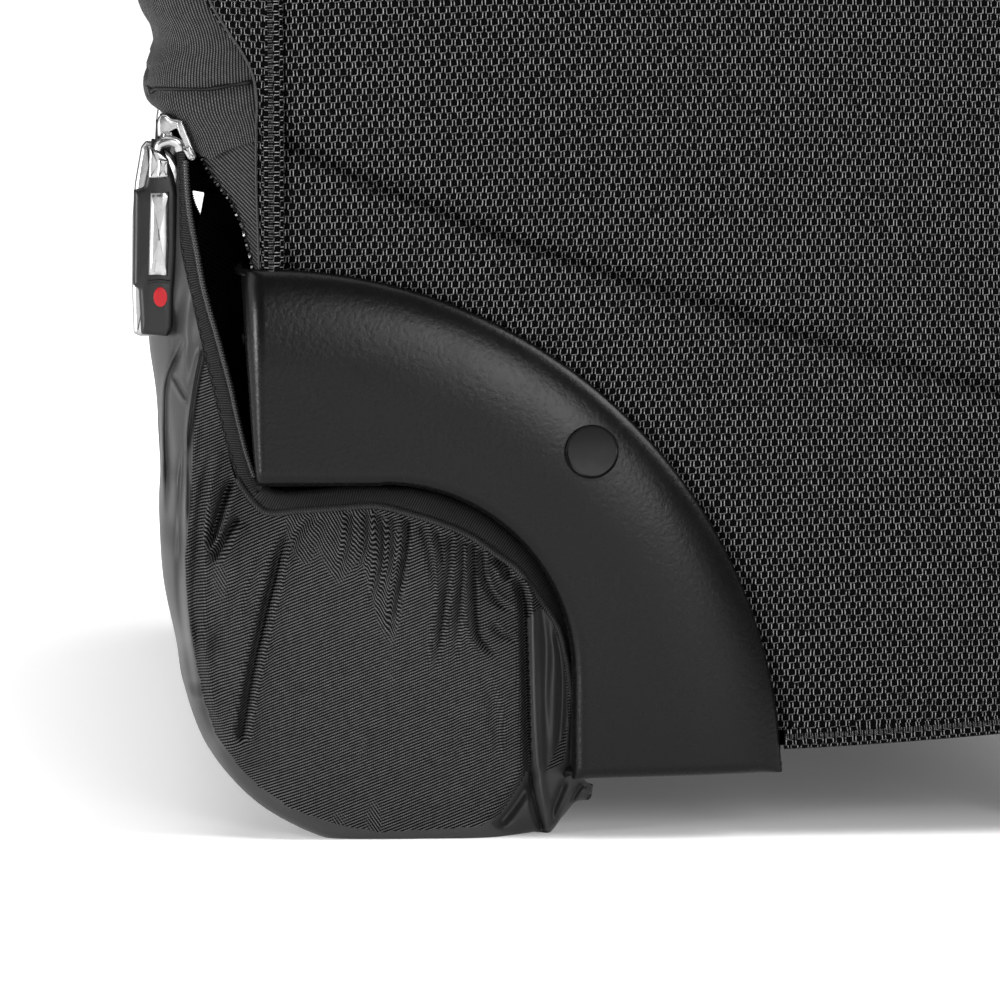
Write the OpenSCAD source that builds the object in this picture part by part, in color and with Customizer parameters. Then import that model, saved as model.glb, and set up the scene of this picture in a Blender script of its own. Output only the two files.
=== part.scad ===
// Rolling laptop case: fabric-skinned box on two corner wheels, with a two-stage
// telescopic handle, a zipped lid, and a fabric cover pulled down over the wheels.
// Millimetres. +Z up, -Y is the lid and front pocket, +Y the wheels, X across.
// The origin is on the floor, under the middle of the case.

/* [Case] */
// Width across the side panels
case_w = 430; // [410:2:450]
// Height of the fabric shell
shell_h = 350; // [340:5:380]
// Depth of the main compartment, from the back corner to the zip
main_d = 174; // [165:1:180]
// Depth of the lid behind its front panel
lid_d = 25; // [20:1:28]
// Thickness of the foam-backed fabric panels
wall = 4; // [3:0.5:4]
// Height of the shell above the floor
shell_z = 18; // [18:0.5:19]

/* [Wheels] */
// Radius of the tyre
tyre_r = 33.5; // [32:0.25:33.5]
// Width of the tyre
tyre_w = 24; // [20:1:25]
// Radius of the wheel arch in the corner guard
arch_r = 38.4; // [38:0.1:40]
// Radius of the corner guard's outer edge
guard_r = 106.2; // [98:0.2:108]
// Radius of the axle bolt
axle_r = 4; // [3.5:0.1:4.5]

/* [Telescopic handle] */
// Distance between the two tube centres
tube_pitch = 190; // [170:2:200]
// Width of the outer tube along X
tube_w = 25; // [24:0.5:27]
// Depth of the outer tube along Y
tube_d = 16; // [15.5:0.25:17]
// Wall of each tube
tube_t = 1.2; // [1:0.1:1.3]

/* [Front pocket] */
// Width of the pocket
pocket_w = 380; // [340:5:400]
// Height of the pocket
pocket_h = 214; // [180:5:230]
// Depth of the pocket when closed
pocket_d = 18.7; // [15:0.1:20]

/* [Hidden] */
$fn = 64;

gap = 0.3;                          // gap left between neighbouring pieces
half_w = case_w / 2;                // outer face of a side panel
in_w = half_w - wall;               // inner face of a side panel
back_y = 99;                        // back face of the shell
mouth_y = back_y - main_d;          // plane of the main zip
lid_y = mouth_y - lid_d;            // front face of the lid
shell_top = shell_z + shell_h;
panel_x = in_w - gap;               // half width of the panels between the sides

// wheel, arch and corner guard
wheel_y = 78.5;
wheel_z = 35;
tyre_x = half_w - 9;                // outer face of the tyre
well_x = half_w - 37;               // inner face of the wheel well
liner = 2.4;                        // wall of the wheel well
guard_t = 3.7;                      // plate thickness
guard_x = half_w + gap + guard_t;   // outer face of the guard
guard_in = half_w - 47;             // inboard edge of the guard's flanges
guard_y = back_y + 4;               // centre of the outer arc
guard_z = 10.8;
flange_top = 117;
boss_in = half_w - 63;              // inboard end of the axle boss
boss_r = 9;
side_rivet = [36.3, 79.8];          // Y and Z of the rivet in the side plate
back_rivet = [half_w - 22, 102.5];  // X and Z of the rivet in the back flange
foot_rivet = [half_w - 30, 14];     // X and Y of the rivet in the bottom flange
rivet_r = 2.4;
rivet_cap = 5.5;
bore_gap = 0.05;                    // running clearance on the axle

// wheel cover: a thin fabric trough around both wheels, up to its zip
cover_t = 1;
cover_r = wheel_z;                  // outer radius around the wheel
cover_x = half_w - 5.2;             // outer face of the cover's ends
cover_back = [[119.4, 143], [121, 118], [121.3, 98], [123.5, 80], [120, 55]];
cover_turn = -15;                   // angle where the back joins the wheel circle
cover_end = -138;                   // angle of the elastic hem
zip_z = 145.5;                      // height of the cover zip
zip_y = 118;
flap_top = 156.5;

// telescopic handle
tube_y = 82;
step = 0.3;                         // clearance between one tube and the next
bracket_z = shell_z + 7;
bracket_top = bracket_z + 19;
outer_z = 30;
cup_z = shell_top - 16;             // underside of the bezel's cup
cup_floor = cup_z + 3;
mid_w = tube_w - 2 * tube_t - 2 * step;
mid_d = tube_d - 2 * tube_t - 2 * step;
inner_w = mid_w - 2 * tube_t - 2 * step;
inner_d = mid_d - 2 * tube_t - 2 * step;
mid_z = 41;
mid_top = cup_floor + 3;
collar_z = cup_floor + gap;
collar_top = collar_z + 6.5;
inner_z = 58;
block_z = mid_z + 2;
grip_z = collar_top + 0.5;
grip_split = grip_z + 17;
grip_top = grip_z + 26;
bar_z = grip_split - 1.2;           // underside of the button's bridge bar
pin_z = 50;
lock_up = 265;                      // travel of each stage to its lock hole
button_w = 44;
button_d = 10;
rod_r = 1.5;

// carry handle
pivot_z = shell_top + 8;
carry_y = 12;
carry_x = 79;                       // middle of each anchor
carry_top = pivot_z + 30;

// feet
foot_y = [-74, -50];
foot_x = [half_w - 65, half_w - 10];
screw_r = 2;

// zips
chain_t = 2;
bail_z = 5.5;                       // height of the bail's bar over the chain
pull_l = 41;
pull_w = 7.5;
pull_t = 4.5;

// ---------- shared shapes ----------

// Extrudes a profile drawn in Y and Z along X.
module along_x(x0, x1)
    translate([x0, 0, 0]) rotate([90, 0, 90]) linear_extrude(x1 - x0) children();

// Extrudes a profile drawn in X and Z along Y.
module along_y(y0, y1)
    translate([0, y1, 0]) rotate([90, 0, 0]) linear_extrude(y1 - y0) children();

// A block between two opposite corners.
module block(a, b) translate(a) cube(b - a);

// A flat rectangle between two opposite corners.
module patch(a, b) translate(a) square(b - a);

// A rectangle with round corners, centred on the origin.
module rounded(w, d, r) {
    square([w, d - 2 * r], center = true);
    square([w - 2 * r, d], center = true);
    for (x = [-1, 1], y = [-1, 1])
        translate([x * (w / 2 - r), y * (d / 2 - r)]) circle(r);
}

module rod_x(x0, x1, y, z, r) translate([x0, y, z]) rotate([0, 90, 0]) cylinder(h = x1 - x0, r = r);

module rod_z(x, y, z0, z1, r) translate([x, y, z0]) cylinder(h = z1 - z0, r = r);

module both_sides() {
    children();
    mirror([1, 0, 0]) children();
}

// ---------- shell ----------

// The wheel well's outline in Y and Z, grown outward by a margin.
module well_profile(grow) {
    translate([wheel_y, wheel_z]) circle(arch_r + grow, $fn = 96);
    patch([wheel_y, -5], [back_y + 20, wheel_z + arch_r + grow]);
    patch([wheel_y - arch_r - grow, -5], [wheel_y, wheel_z]);
}

module wells(grow)
    both_sides() along_x(-half_w - 10, -well_x + grow) well_profile(grow);

module side_panel() color([0.07, 0.07, 0.075]) difference() {
    along_x(-half_w, -in_w) difference() {
        translate([(mouth_y + back_y) / 2, shell_z + shell_h / 2]) rounded(main_d, shell_h, 3);
        well_profile(liner + gap);
    }
    rod_x(-half_w - 1, -in_w + 1, side_rivet[0], side_rivet[1], rivet_r + 0.1);
}

module side_panel_left() side_panel();

module side_panel_right() mirror([1, 0, 0]) side_panel();

module top_panel() color([0.07, 0.07, 0.075]) difference() {
    block([-panel_x, mouth_y, shell_top - wall], [panel_x, back_y - wall - gap, shell_top]);
    translate([0, tube_y, 0]) linear_extrude(shell_top + 5) rounded(tube_pitch + 66, 24.6, 6);
}

module bottom_panel() color([0.06, 0.06, 0.065]) difference() {
    block([-panel_x, mouth_y, shell_z], [panel_x, back_y - wall - gap, shell_z + wall]);
    wells(liner + gap);
    base_holes();
}

module back_board() color([0.09, 0.09, 0.1]) difference() {
    block([-panel_x, back_y - wall, shell_z + wall + gap], [panel_x, back_y, shell_top - 3]);
    wells(liner + gap);
    both_sides() translate([-back_rivet[0], back_y + 5, back_rivet[1]]) rotate([90, 0, 0])
        cylinder(h = 20, r = rivet_r + 0.1);
}

module base_tray() color([0.12, 0.12, 0.12]) difference() {
    union() {
        block([-panel_x + 4, mouth_y + 6, shell_z + wall + gap],
              [panel_x - 4, back_y - wall - gap, shell_z + wall + gap + 2.5]);
        block([-panel_x + 4, mouth_y + 6, shell_z + wall + gap],
              [panel_x - 4, mouth_y + 8.5, shell_z + wall + 14]);
    }
    wells(liner + 1);
    base_holes();
}

// Padded panel on the back, above the cover pocket, with sloping sides.
module back_pad() color([0.1, 0.1, 0.105]) hull() {
    for (x = [-1, 1], z = [170, shell_top - 26]) {
        translate([x * (half_w - 16), back_y + gap, z]) rotate([-90, 0, 0])
            cylinder(h = 2, r = 11, $fn = 24);
        translate([x * (half_w - 30), back_y + 14, z + (z > 200 ? -8 : 2)]) rotate([-90, 0, 0])
            cylinder(h = 7.5, r = 12, $fn = 24);
    }
}

// Short fabric roof of the cover pocket, from the back board out to the zip.
module cover_flap() color([0.1, 0.1, 0.105]) {
    flap_out = [[114, flap_top], [119, 153.5], [121, zip_z + 2.6]];
    along_x(-half_w + 8, half_w - 8)
        polygon(concat([[back_y + gap, flap_top]], flap_out,
                       [[119.4, zip_z + 2.6], [117.6, 152.4], [113, flap_top - 1.6],
                        [back_y + gap, flap_top - 1.6]]));
    both_sides() along_x(-half_w + 6.8, -half_w + 8)
        polygon(concat([[back_y + gap, flap_top]], flap_out, [[back_y + gap, zip_z - 12]]));
}

// ---------- wheel cover ----------

function on_wheel(r, a) = [wheel_y + r * cos(a), wheel_z + r * sin(a)];

// Thin sheet outline: down the back, then round the underside of the wheel.
module cover_sheet_profile() {
    inner = [for (p = cover_back) [p[0] - cover_t, p[1]]];
    polygon(concat(cover_back, [on_wheel(cover_r, cover_turn), on_wheel(cover_r - cover_t, cover_turn)],
                   [for (i = [4:-1:0]) inner[i]]));
    intersection() {
        translate([wheel_y, wheel_z]) difference() {
            circle(cover_r, $fn = 128);
            circle(cover_r - cover_t, $fn = 128);
        }
        polygon(concat([[wheel_y, wheel_z]],
                       [for (i = [0:5]) on_wheel(cover_r * 1.6, cover_turn + (cover_end - cover_turn) * i / 5)]));
    }
}

// End wall over the wheel's outer face and the gap behind it.
module cover_end_profile() {
    translate([wheel_y, wheel_z]) circle(cover_r, $fn = 128);
    polygon([[wheel_y, wheel_z], on_wheel(cover_r, cover_turn), cover_back[4],
             [121, 70], [wheel_y, wheel_z + cover_r]]);
}

module wheel_cover() color([0.17, 0.17, 0.18]) {
    along_x(-cover_x, cover_x) cover_sheet_profile();
    both_sides() along_x(-cover_x, -cover_x + cover_t) cover_end_profile();
}

// Closed chain across the back, and the open half that follows the wheel arch.
module cover_zip() color([0.05, 0.05, 0.05]) {
    tape_x = cover_x + 0.3;
    block([-half_w + 12, zip_y, zip_z - 2.2], [half_w - 12, zip_y + chain_t, zip_z + 2.2]);
    both_sides() along_x(-tape_x - 0.8, -tape_x) {
        polygon([[120.3, zip_z - 3], [115.5, zip_z - 3], [105.9, 74.6], [106, 70.6], [110, 71.2]]);
        patch([wheel_y, wheel_z + cover_r + 0.4], [107, wheel_z + cover_r + 2.9]);
        intersection() {
            translate([wheel_y, wheel_z]) difference() {
                circle(arch_r - 0.5, $fn = 96);
                circle(cover_r + 0.4, $fn = 96);
            }
            patch([wheel_y - arch_r, wheel_z - 15], [wheel_y, wheel_z + arch_r]);
        }
    }
}

// ---------- corner guards and wheels ----------

// Side outline: a quarter disc with a sloping bottom and back edge.
module guard_outline() intersection() {
    translate([guard_y, guard_z]) circle(guard_r, $fn = 160);
    polygon([[guard_y - guard_r, 15.4], [39, 13], [guard_y, 13], [guard_y, wheel_z + arch_r],
             [guard_y + 2.2, flange_top], [guard_y + 2.2, 130], [-10, 130], [-10, 15.4]]);
}

module wheel_guard() color([0.13, 0.13, 0.13]) difference() {
    union() {
        along_x(-guard_x, -half_w - gap) difference() {
            guard_outline();
            well_profile(0);
        }
        along_x(-guard_x, -well_x) intersection() {
            guard_outline();
            difference() {
                well_profile(liner);
                well_profile(0);
            }
        }
        along_x(-well_x - 3, -well_x) intersection() {
            guard_outline();
            well_profile(liner);
        }
        along_x(-guard_x, -guard_in)
            polygon([[back_y + gap, wheel_z + arch_r], [guard_y, wheel_z + arch_r],
                     [guard_y + 2.2, flange_top], [back_y + gap, flange_top]]);
        along_x(-guard_x, -guard_in)
            polygon([[-3, 15.4], [39, 13], [39, shell_z - gap], [-3, shell_z - gap]]);
        rod_x(-well_x - 1, -boss_in, wheel_y, wheel_z, boss_r);
    }
    rod_x(-well_x - 5, -boss_in + 1, wheel_y, wheel_z, axle_r + bore_gap);
    rod_x(-guard_x - 1, -half_w + 1, side_rivet[0], side_rivet[1], rivet_r + 0.1);
    translate([-back_rivet[0], back_y + 20, back_rivet[1]]) rotate([90, 0, 0])
        cylinder(h = 25, r = rivet_r + 0.1);
    rod_z(-foot_rivet[0], foot_rivet[1], 5, shell_z + 1, rivet_r + 0.1);
}

module wheel_guard_left() wheel_guard();

module wheel_guard_right() mirror([1, 0, 0]) wheel_guard();

// A cap, its shank and the washer behind the panel, along +Z from the cap's seat.
module rivet(seat) color([0.09, 0.09, 0.09]) {
    translate([0, 0, -1.4]) cylinder(h = 1.4, r = rivet_cap);
    cylinder(h = seat + 1.2, r = rivet_r);
    translate([0, 0, seat]) cylinder(h = 1.2, r = rivet_cap);
}

module guard_rivets() both_sides() {
    translate([-guard_x, side_rivet[0], side_rivet[1]]) rotate([0, 90, 0])
        rivet(guard_x - in_w + 0.05);
    translate([-back_rivet[0], guard_y + 1.9, back_rivet[1]]) rotate([90, 0, 0])
        rivet(guard_y + 1.9 - back_y + wall + 0.05);
    translate([-foot_rivet[0], foot_rivet[1], 14]) rivet(shell_z + wall + gap + 2.5 - 13.95);
}

module axle_bolts() color([0.6, 0.6, 0.62]) both_sides() {
    rod_x(-tyre_x - 2.2, -tyre_x - 0.1, wheel_y, wheel_z, 6.2);
    rod_x(-tyre_x - 1, -boss_in + 8, wheel_y, wheel_z, axle_r);
}

module axle_nuts() color([0.6, 0.6, 0.62]) both_sides() difference() {
    translate([-boss_in + 0.1, wheel_y, wheel_z]) rotate([0, 90, 0]) cylinder(h = 6, r = 7.5, $fn = 6);
    rod_x(-boss_in - 1, -boss_in + 9, wheel_y, wheel_z, axle_r + bore_gap);
}

module tyre() color([0.05, 0.05, 0.05])
    translate([-tyre_x + tyre_w / 2, wheel_y, wheel_z]) rotate([0, 90, 0]) rotate_extrude($fn = 96)
        translate([(tyre_r + 25) / 2, 0]) rounded(tyre_r - 25, tyre_w - 1, 3);

module hub() color([0.35, 0.35, 0.36]) difference() {
    rod_x(-tyre_x + 0.6, -tyre_x + tyre_w - 0.6, wheel_y, wheel_z, 24.95);
    rod_x(-tyre_x - 1, -tyre_x + 7.9, wheel_y, wheel_z, 11.02);
    rod_x(-tyre_x + tyre_w - 7.9, -tyre_x + tyre_w + 1, wheel_y, wheel_z, 11.02);
    rod_x(-tyre_x, -tyre_x + tyre_w, wheel_y, wheel_z, 8);
    for (a = [0:60:300])
        rod_x(-tyre_x, -tyre_x + tyre_w, wheel_y + 17.6 * cos(a), wheel_z + 17.6 * sin(a), 4.2);
}

module bearings() color([0.7, 0.7, 0.72])
    for (x = [-tyre_x + 0.8, -tyre_x + tyre_w - 7.8]) difference() {
        rod_x(x, x + 7, wheel_y, wheel_z, 11);
        rod_x(x - 1, x + 8, wheel_y, wheel_z, axle_r + bore_gap);
    }

// ---------- feet and base fasteners ----------

module foot() color([0.12, 0.12, 0.12]) difference() {
    intersection() {
        along_x(-foot_x[1], -foot_x[0])
            polygon([[foot_y[0], shell_z - gap], [foot_y[0], 12], [foot_y[0] + 4, 0], [foot_y[1] - 3, 0],
                     [foot_y[1], 12], [foot_y[1], shell_z - gap]]);
        along_y(foot_y[0] - 1, foot_y[1] + 1)
            polygon([[-foot_x[1], shell_z], [-foot_x[1], 10], [-foot_x[1] + 4, 0], [-foot_x[0] - 4, 0],
                     [-foot_x[0], 10], [-foot_x[0], shell_z]]);
    }
    foot_screw_places() rod_z(0, 0, 5, 30, screw_r - 0.05);
}

module foot_screw_places()
    for (x = [foot_x[0] + 14, foot_x[1] - 14]) translate([-x, (foot_y[0] + foot_y[1]) / 2, 0]) children();

// Holes for the rivets and screws that pass through the bottom of the case.
module base_holes() both_sides() {
    rod_z(-foot_rivet[0], foot_rivet[1], 5, 40, rivet_r + 0.1);
    foot_screw_places() rod_z(0, 0, 5, 40, screw_r + 0.2);
    rod_z(-50, tube_y, 5, 40, screw_r + 0.2);
}

module base_screws() color([0.65, 0.65, 0.66]) both_sides() {
    foot_screw_places() {
        rod_z(0, 0, 6, shell_z + wall + 4, screw_r - 0.1);
        rod_z(0, 0, shell_z + wall + 2.85, shell_z + wall + 5.3, 4);
    }
    rod_z(-50, tube_y, shell_z - 1, bracket_top - 5, screw_r - 0.1);
    rod_z(-50, tube_y, shell_z - 2.2, shell_z - 0.05, 4);
}

// ---------- telescopic handle ----------

module tube_places() both_sides() translate([-tube_pitch / 2, tube_y, 0]) children();

module tube(w, d, z0, z1) translate([0, 0, z0]) linear_extrude(z1 - z0) difference() {
    rounded(w, d, 4);
    rounded(w - 2 * tube_t, d - 2 * tube_t, 4 - tube_t);
}

module plug(w, d, z0, z1) translate([0, 0, z0]) linear_extrude(z1 - z0) rounded(w, d, 2.2);

module trolley_outer_tubes() color([0.55, 0.56, 0.58])
    tube_places() tube(tube_w, tube_d, outer_z, cup_z - 0.1);

module trolley_bracket() color([0.12, 0.12, 0.12]) difference() {
    block([-tube_pitch / 2 - 22, tube_y - 12, bracket_z], [tube_pitch / 2 + 22, tube_y + 12, bracket_top]);
    tube_places() plug(tube_w + 0.2, tube_d + 0.2, outer_z - 0.1, bracket_top + 1);
    both_sides() rod_z(-50, tube_y, bracket_z - 1, bracket_top - 4, screw_r - 0.05);
}

module trolley_bezel() color([0.1, 0.1, 0.1]) difference() {
    union() {
        translate([0, tube_y, cup_z]) linear_extrude(shell_top - cup_z) rounded(tube_pitch + 65, 24, 6);
        translate([0, tube_y, shell_top + 0.1]) linear_extrude(2) rounded(tube_pitch + 72, 32, 8);
        translate([0, tube_y, shell_top - 1]) linear_extrude(2) rounded(tube_pitch + 65, 24, 6);
    }
    translate([0, tube_y, cup_floor]) linear_extrude(30) rounded(tube_pitch + 61, 20.4, 4.5);
    tube_places() plug(mid_w + 2 * step, mid_d + 2 * step, cup_z - 1, cup_floor + 1);
}

module mid_tubes() color([0.62, 0.63, 0.65]) difference() {
    tube_places() tube(mid_w, mid_d, mid_z, mid_top);
    rod_x(-half_w, half_w, tube_y, pin_z + lock_up, 2.8);
}

module mid_collars() color([0.1, 0.1, 0.1]) tube_places() difference() {
    plug(tube_w + 2, tube_d + 2, collar_z, collar_top);
    translate([0, 0, collar_z - 1]) linear_extrude(mid_top - collar_z + 1.1) rounded(mid_w + 0.1, mid_d + 0.1, 4);
    plug(inner_w + 2 * step, inner_d + 2 * step, collar_z, collar_top + 1);
}

module mid_lock_blocks() color([0.5, 0.5, 0.5]) tube_places()
    plug(mid_w, mid_d, mid_z - 9.5, mid_z - 0.05);

module inner_tubes() color([0.7, 0.71, 0.73])
    tube_places() tube(inner_w, inner_d, inner_z, grip_z + 8);

module inner_lock_blocks() color([0.5, 0.5, 0.5]) difference() {
    tube_places() plug(inner_w, inner_d, block_z, inner_z - 0.05);
    tube_places() rod_z(0, 0, pin_z + 3, inner_z + 1, rod_r + 0.4);
    rod_x(-half_w, half_w, tube_y, pin_z, 2.5);
}

// Lock pin, held just inside the tube wall; it snaps out at the lock hole.
module lock_pin() color([0.7, 0.7, 0.72])
    rod_x(-tube_pitch / 2 - inner_w / 2, -tube_pitch / 2 - 2.5, tube_y, pin_z, 2.4);

module grip_lower_shell() color([0.1, 0.1, 0.1]) difference() {
    union() {
        tube_places() plug(30, 17.5, grip_z, grip_z + 9.5);
        translate([0, tube_y, grip_z + 9]) linear_extrude(grip_split - grip_z - 9.05)
            rounded(tube_pitch + 42, 18, 7);
    }
    tube_places() plug(inner_w + 0.2, inner_d + 0.2, grip_z - 1, grip_z + 8.1);
    tube_places() rod_z(0, 0, grip_z, grip_split + 1, rod_r + 0.6);
    translate([0, tube_y, grip_z + 10.3]) linear_extrude(20) rounded(tube_pitch + 8, 12.5, 3);
}

module grip_upper_shell() color([0.1, 0.1, 0.1]) difference() {
    translate([0, tube_y, grip_split]) linear_extrude(grip_top - grip_split)
        rounded(tube_pitch + 42, 18, 7);
    translate([0, tube_y, grip_split - 1]) linear_extrude(7) rounded(tube_pitch + 8, 12.5, 3);
    translate([0, tube_y, grip_split - 1]) linear_extrude(20)
        rounded(button_w + 2 * gap, button_d + 2 * gap, 3);
}

// Push button and the bridge bar that carries both push rods.
module grip_button() color([0.35, 0.35, 0.36]) {
    translate([0, tube_y, bar_z + 2.9]) linear_extrude(grip_top + 1.5 - bar_z - 2.9)
        rounded(button_w, button_d, 2.8);
    block([-tube_pitch / 2 - 3, tube_y - 4.5, bar_z], [tube_pitch / 2 + 3, tube_y + 4.5, bar_z + 3]);
}

module push_rods() color([0.7, 0.7, 0.72])
    tube_places() rod_z(0, 0, pin_z + 7.2, bar_z - 0.05, rod_r);

// One small compression spring under the middle of the button's bridge bar.
module button_spring() color([0.75, 0.75, 0.77]) {
    turns = 4;
    sides = 6;
    rings = turns * 14;
    z0 = grip_z + 10.7;
    rise = bar_z - 0.4 - z0;
    ring = function(i) let (a = 360 * turns * i / rings, c = [2.6 * cos(a), 2.6 * sin(a), z0 + rise * i / rings])
        [for (k = [0:sides - 1]) let (t = 360 * k / sides)
            c + 0.3 * [cos(t) * cos(a), cos(t) * sin(a), sin(t)]];
    points = [for (i = [0:rings]) each ring(i)];
    faces = concat(
        [[for (k = [0:sides - 1]) k]],
        [for (i = [0:rings - 1], k = [0:sides - 1])
            [i * sides + k, (i + 1) * sides + k, (i + 1) * sides + (k + 1) % sides, i * sides + (k + 1) % sides]],
        [[for (k = [sides - 1:-1:0]) rings * sides + k]]);
    translate([0, tube_y, 0]) polyhedron(points, faces, convexity = 8);
}

// ---------- lid ----------

module lid_outline(inset) translate([0, shell_z + shell_h / 2])
    rounded(case_w - 2 * inset, shell_h - 2 * inset, 6 - inset * 0.8);

module lid_gusset() color([0.07, 0.07, 0.075]) along_y(lid_y + wall + 0.1, mouth_y - 0.6) difference() {
    lid_outline(0);
    lid_outline(wall);
}

module lid_panel() color([0.07, 0.07, 0.075]) along_y(lid_y, lid_y + wall) lid_outline(0);

module front_pocket() color([0.09, 0.09, 0.095]) hull() {
    for (x = [-1, 1], z = [50, 50 + pocket_h - 28]) {
        translate([x * (pocket_w / 2 - 14), lid_y - gap, z]) rotate([90, 0, 0])
            cylinder(h = 3, r = 14, $fn = 24);
        translate([x * (pocket_w / 2 - 22), lid_y - 12, z]) rotate([90, 0, 0])
            cylinder(h = pocket_d - 12, r = 14, $fn = 24);
    }
}

module main_zip_tape() color([0.05, 0.05, 0.05]) difference() {
    along_y(mouth_y + 0.1, mouth_y + 6) translate([0, shell_z + shell_h / 2])
        rounded(case_w + 2, shell_h + 2, 0.9);
    block([-half_w - 0.1, mouth_y, shell_z - 0.1], [half_w + 0.1, mouth_y + 7, shell_top + 0.1]);
    block([-half_w - 9, mouth_y - 1, 0], [half_w + 9, mouth_y + 9, 130]);
}

module lid_zip_tape() color([0.05, 0.05, 0.05]) difference() {
    along_y(mouth_y - 6.4, mouth_y - 0.7) lid_outline(-1);
    along_y(mouth_y - 7, mouth_y) lid_outline(-0.1);
    block([-half_w - 9, mouth_y - 9, 0], [half_w + 9, mouth_y + 1, 130]);
}

module pocket_zip() color([0.05, 0.05, 0.05])
    block([-pocket_w / 2 + 40, lid_y - pocket_d - 1.3, 212], [pocket_w / 2 - 40, lid_y - pocket_d - 0.1, 224]);

// ---------- inside ----------

// Padded sleeve with its back panel, which also hides the handle's tubes.
module laptop_sleeve() color([0.16, 0.16, 0.17]) difference() {
    union() {
        block([-panel_x + 8, 30, 80], [panel_x - 8, 70, 330]);
        block([-panel_x + 1, 66, 80], [panel_x - 1, 70, shell_top - wall - 12]);
    }
    block([-panel_x + 14, 36, 86], [panel_x - 14, 66, 340]);
}

// ---------- carry handle ----------

module handle_anchors() color([0.12, 0.12, 0.12]) translate([0, carry_y, 0]) both_sides() {
    difference() {
        union() {
            block([-carry_x - 22, -13, shell_top + 0.1], [-carry_x + 22, 13, shell_top + 2.6]);
            for (x = [-carry_x - 19, -carry_x + 14])
                along_x(x, x + 5) {
                    translate([0, pivot_z]) circle(5);
                    patch([-5, shell_top + 2], [5, pivot_z]);
                }
        }
        rod_x(-carry_x - 30, -carry_x + 30, 0, pivot_z, 2.55);
    }
    rod_x(-carry_x - 18.6, -carry_x + 18.6, 0, pivot_z, 2.5);
}

module handle_straps() color([0.08, 0.08, 0.08]) translate([0, carry_y, 0]) both_sides() difference() {
    along_x(-carry_x - 12.5, -carry_x + 12.5) {
        translate([0, pivot_z]) circle(4.6);
        patch([-2, pivot_z], [2, carry_top - 12.1]);
    }
    rod_x(-carry_x - 20, -carry_x + 20, 0, pivot_z, 2.9);
}

module handle_grip() color([0.1, 0.1, 0.1])
    translate([-carry_x - 15, carry_y, carry_top - 4]) rotate([0, 90, 0]) linear_extrude(2 * carry_x + 30)
        rounded(16, 24, 7);

// ---------- edge piping ----------

module edge_piping() color([0.06, 0.06, 0.06]) both_sides() {
    r = 2;
    corner_y = back_y + r + gap;
    translate([-half_w + r, 0, 0]) {
        rod_z(0, corner_y, flange_top + 3, shell_top - 2, r);
        translate([0, corner_y, shell_top - 2]) sphere(r, $fn = 32);
        translate([0, mouth_y + 7, shell_z - r - gap]) rotate([-90, 0, 0]) cylinder(h = 63, r = r);
    }
}

// ---------- zip sliders and pulls ----------

// Slider body, long along X, lying on a chain whose face is z = 0, with an arched
// bail whose bar runs along X.
module slider() color([0.72, 0.72, 0.74]) {
    translate([0, 0, 0.2]) linear_extrude(2.6) rounded(10, 8, 2);
    difference() {
        block([-3.6, -0.7, 2.6], [3.6, 0.7, bail_z + 0.5]);
        block([-2.2, -1, 2.8], [2.2, 1, bail_z - 0.5]);
    }
}

// Flat pull hanging along -Z; the hole in its head is on the bail's bar, at the origin.
module pull() color([0.12, 0.12, 0.12]) {
    along_x(-1, 1) difference() {
        union() {
            circle(2.4);
            patch([-1.9, -6.5], [1.9, 0]);
        }
        circle(1.3);
    }
    along_x(-pull_t / 2, pull_t / 2)
        polygon([[-2.6, -6.4], [2.6, -6.4], [pull_w / 2, -12], [pull_w / 2, -pull_l + 8],
                 [2.9, -pull_l], [-2.9, -pull_l], [-pull_w / 2, -pull_l + 8], [-pull_w / 2, -12]]);
}

// Places a slider's frame: at the chain's face, turned about Z, leaning onto a wall.
module on_wall(x, y, z, turn) translate([x, y, z]) rotate([0, 0, turn]) children();

module wall_slider() rotate([90, 0, 0]) slider();

module wall_pull() translate([0, -bail_z, 0]) pull();

module main_slider(x) translate([x, mouth_y - 0.3, shell_top + 1.1]) slider();

module main_pull(x) translate([x, mouth_y - 0.3, shell_top + 1.1 + bail_z]) rotate([90, 0, 0]) pull();

module pocket_spot() on_wall(110, lid_y - pocket_d - 1.3, 218, 0) children();

module cover_spot() on_wall(-half_w + 13, zip_y + chain_t, zip_z - 3, 180) children();

// ---------- nodes ----------

side_panel_left();
side_panel_right();
top_panel();
bottom_panel();
back_board();
base_tray();
back_pad();
cover_flap();
wheel_cover();
cover_zip();
wheel_guard_left();
wheel_guard_right();
guard_rivets();
axle_bolts();
axle_nuts();
foot();  // foot_left
mirror([1, 0, 0]) foot();  // foot_right
base_screws();
trolley_outer_tubes();
trolley_bezel();
trolley_bracket();
laptop_sleeve();
main_zip_tape();
handle_anchors();
edge_piping();
tyre();  // tyre_left
hub();  // hub_left
bearings();  // bearings_left
mirror([1, 0, 0]) tyre();  // tyre_right
mirror([1, 0, 0]) hub();  // hub_right
mirror([1, 0, 0]) bearings();  // bearings_right
mid_tubes();
mid_collars();
mid_lock_blocks();
inner_tubes();
grip_lower_shell();
grip_upper_shell();
inner_lock_blocks();
button_spring();
grip_button();
push_rods();
lock_pin();  // lock_pin_left
mirror([1, 0, 0]) lock_pin();  // lock_pin_right
lid_panel();
lid_gusset();
front_pocket();
lid_zip_tape();
pocket_zip();
handle_grip();
handle_straps();
main_slider(-8);  // main_slider_left
main_pull(-8);  // main_pull_left
main_slider(8);  // main_slider_right
main_pull(8);  // main_pull_right
pocket_spot() wall_slider();  // pocket_slider
pocket_spot() wall_pull();  // pocket_pull
cover_spot() wall_slider();  // cover_slider_left
cover_spot() wall_pull();  // cover_pull_left
mirror([1, 0, 0]) cover_spot() wall_slider();  // cover_slider_right
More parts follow.
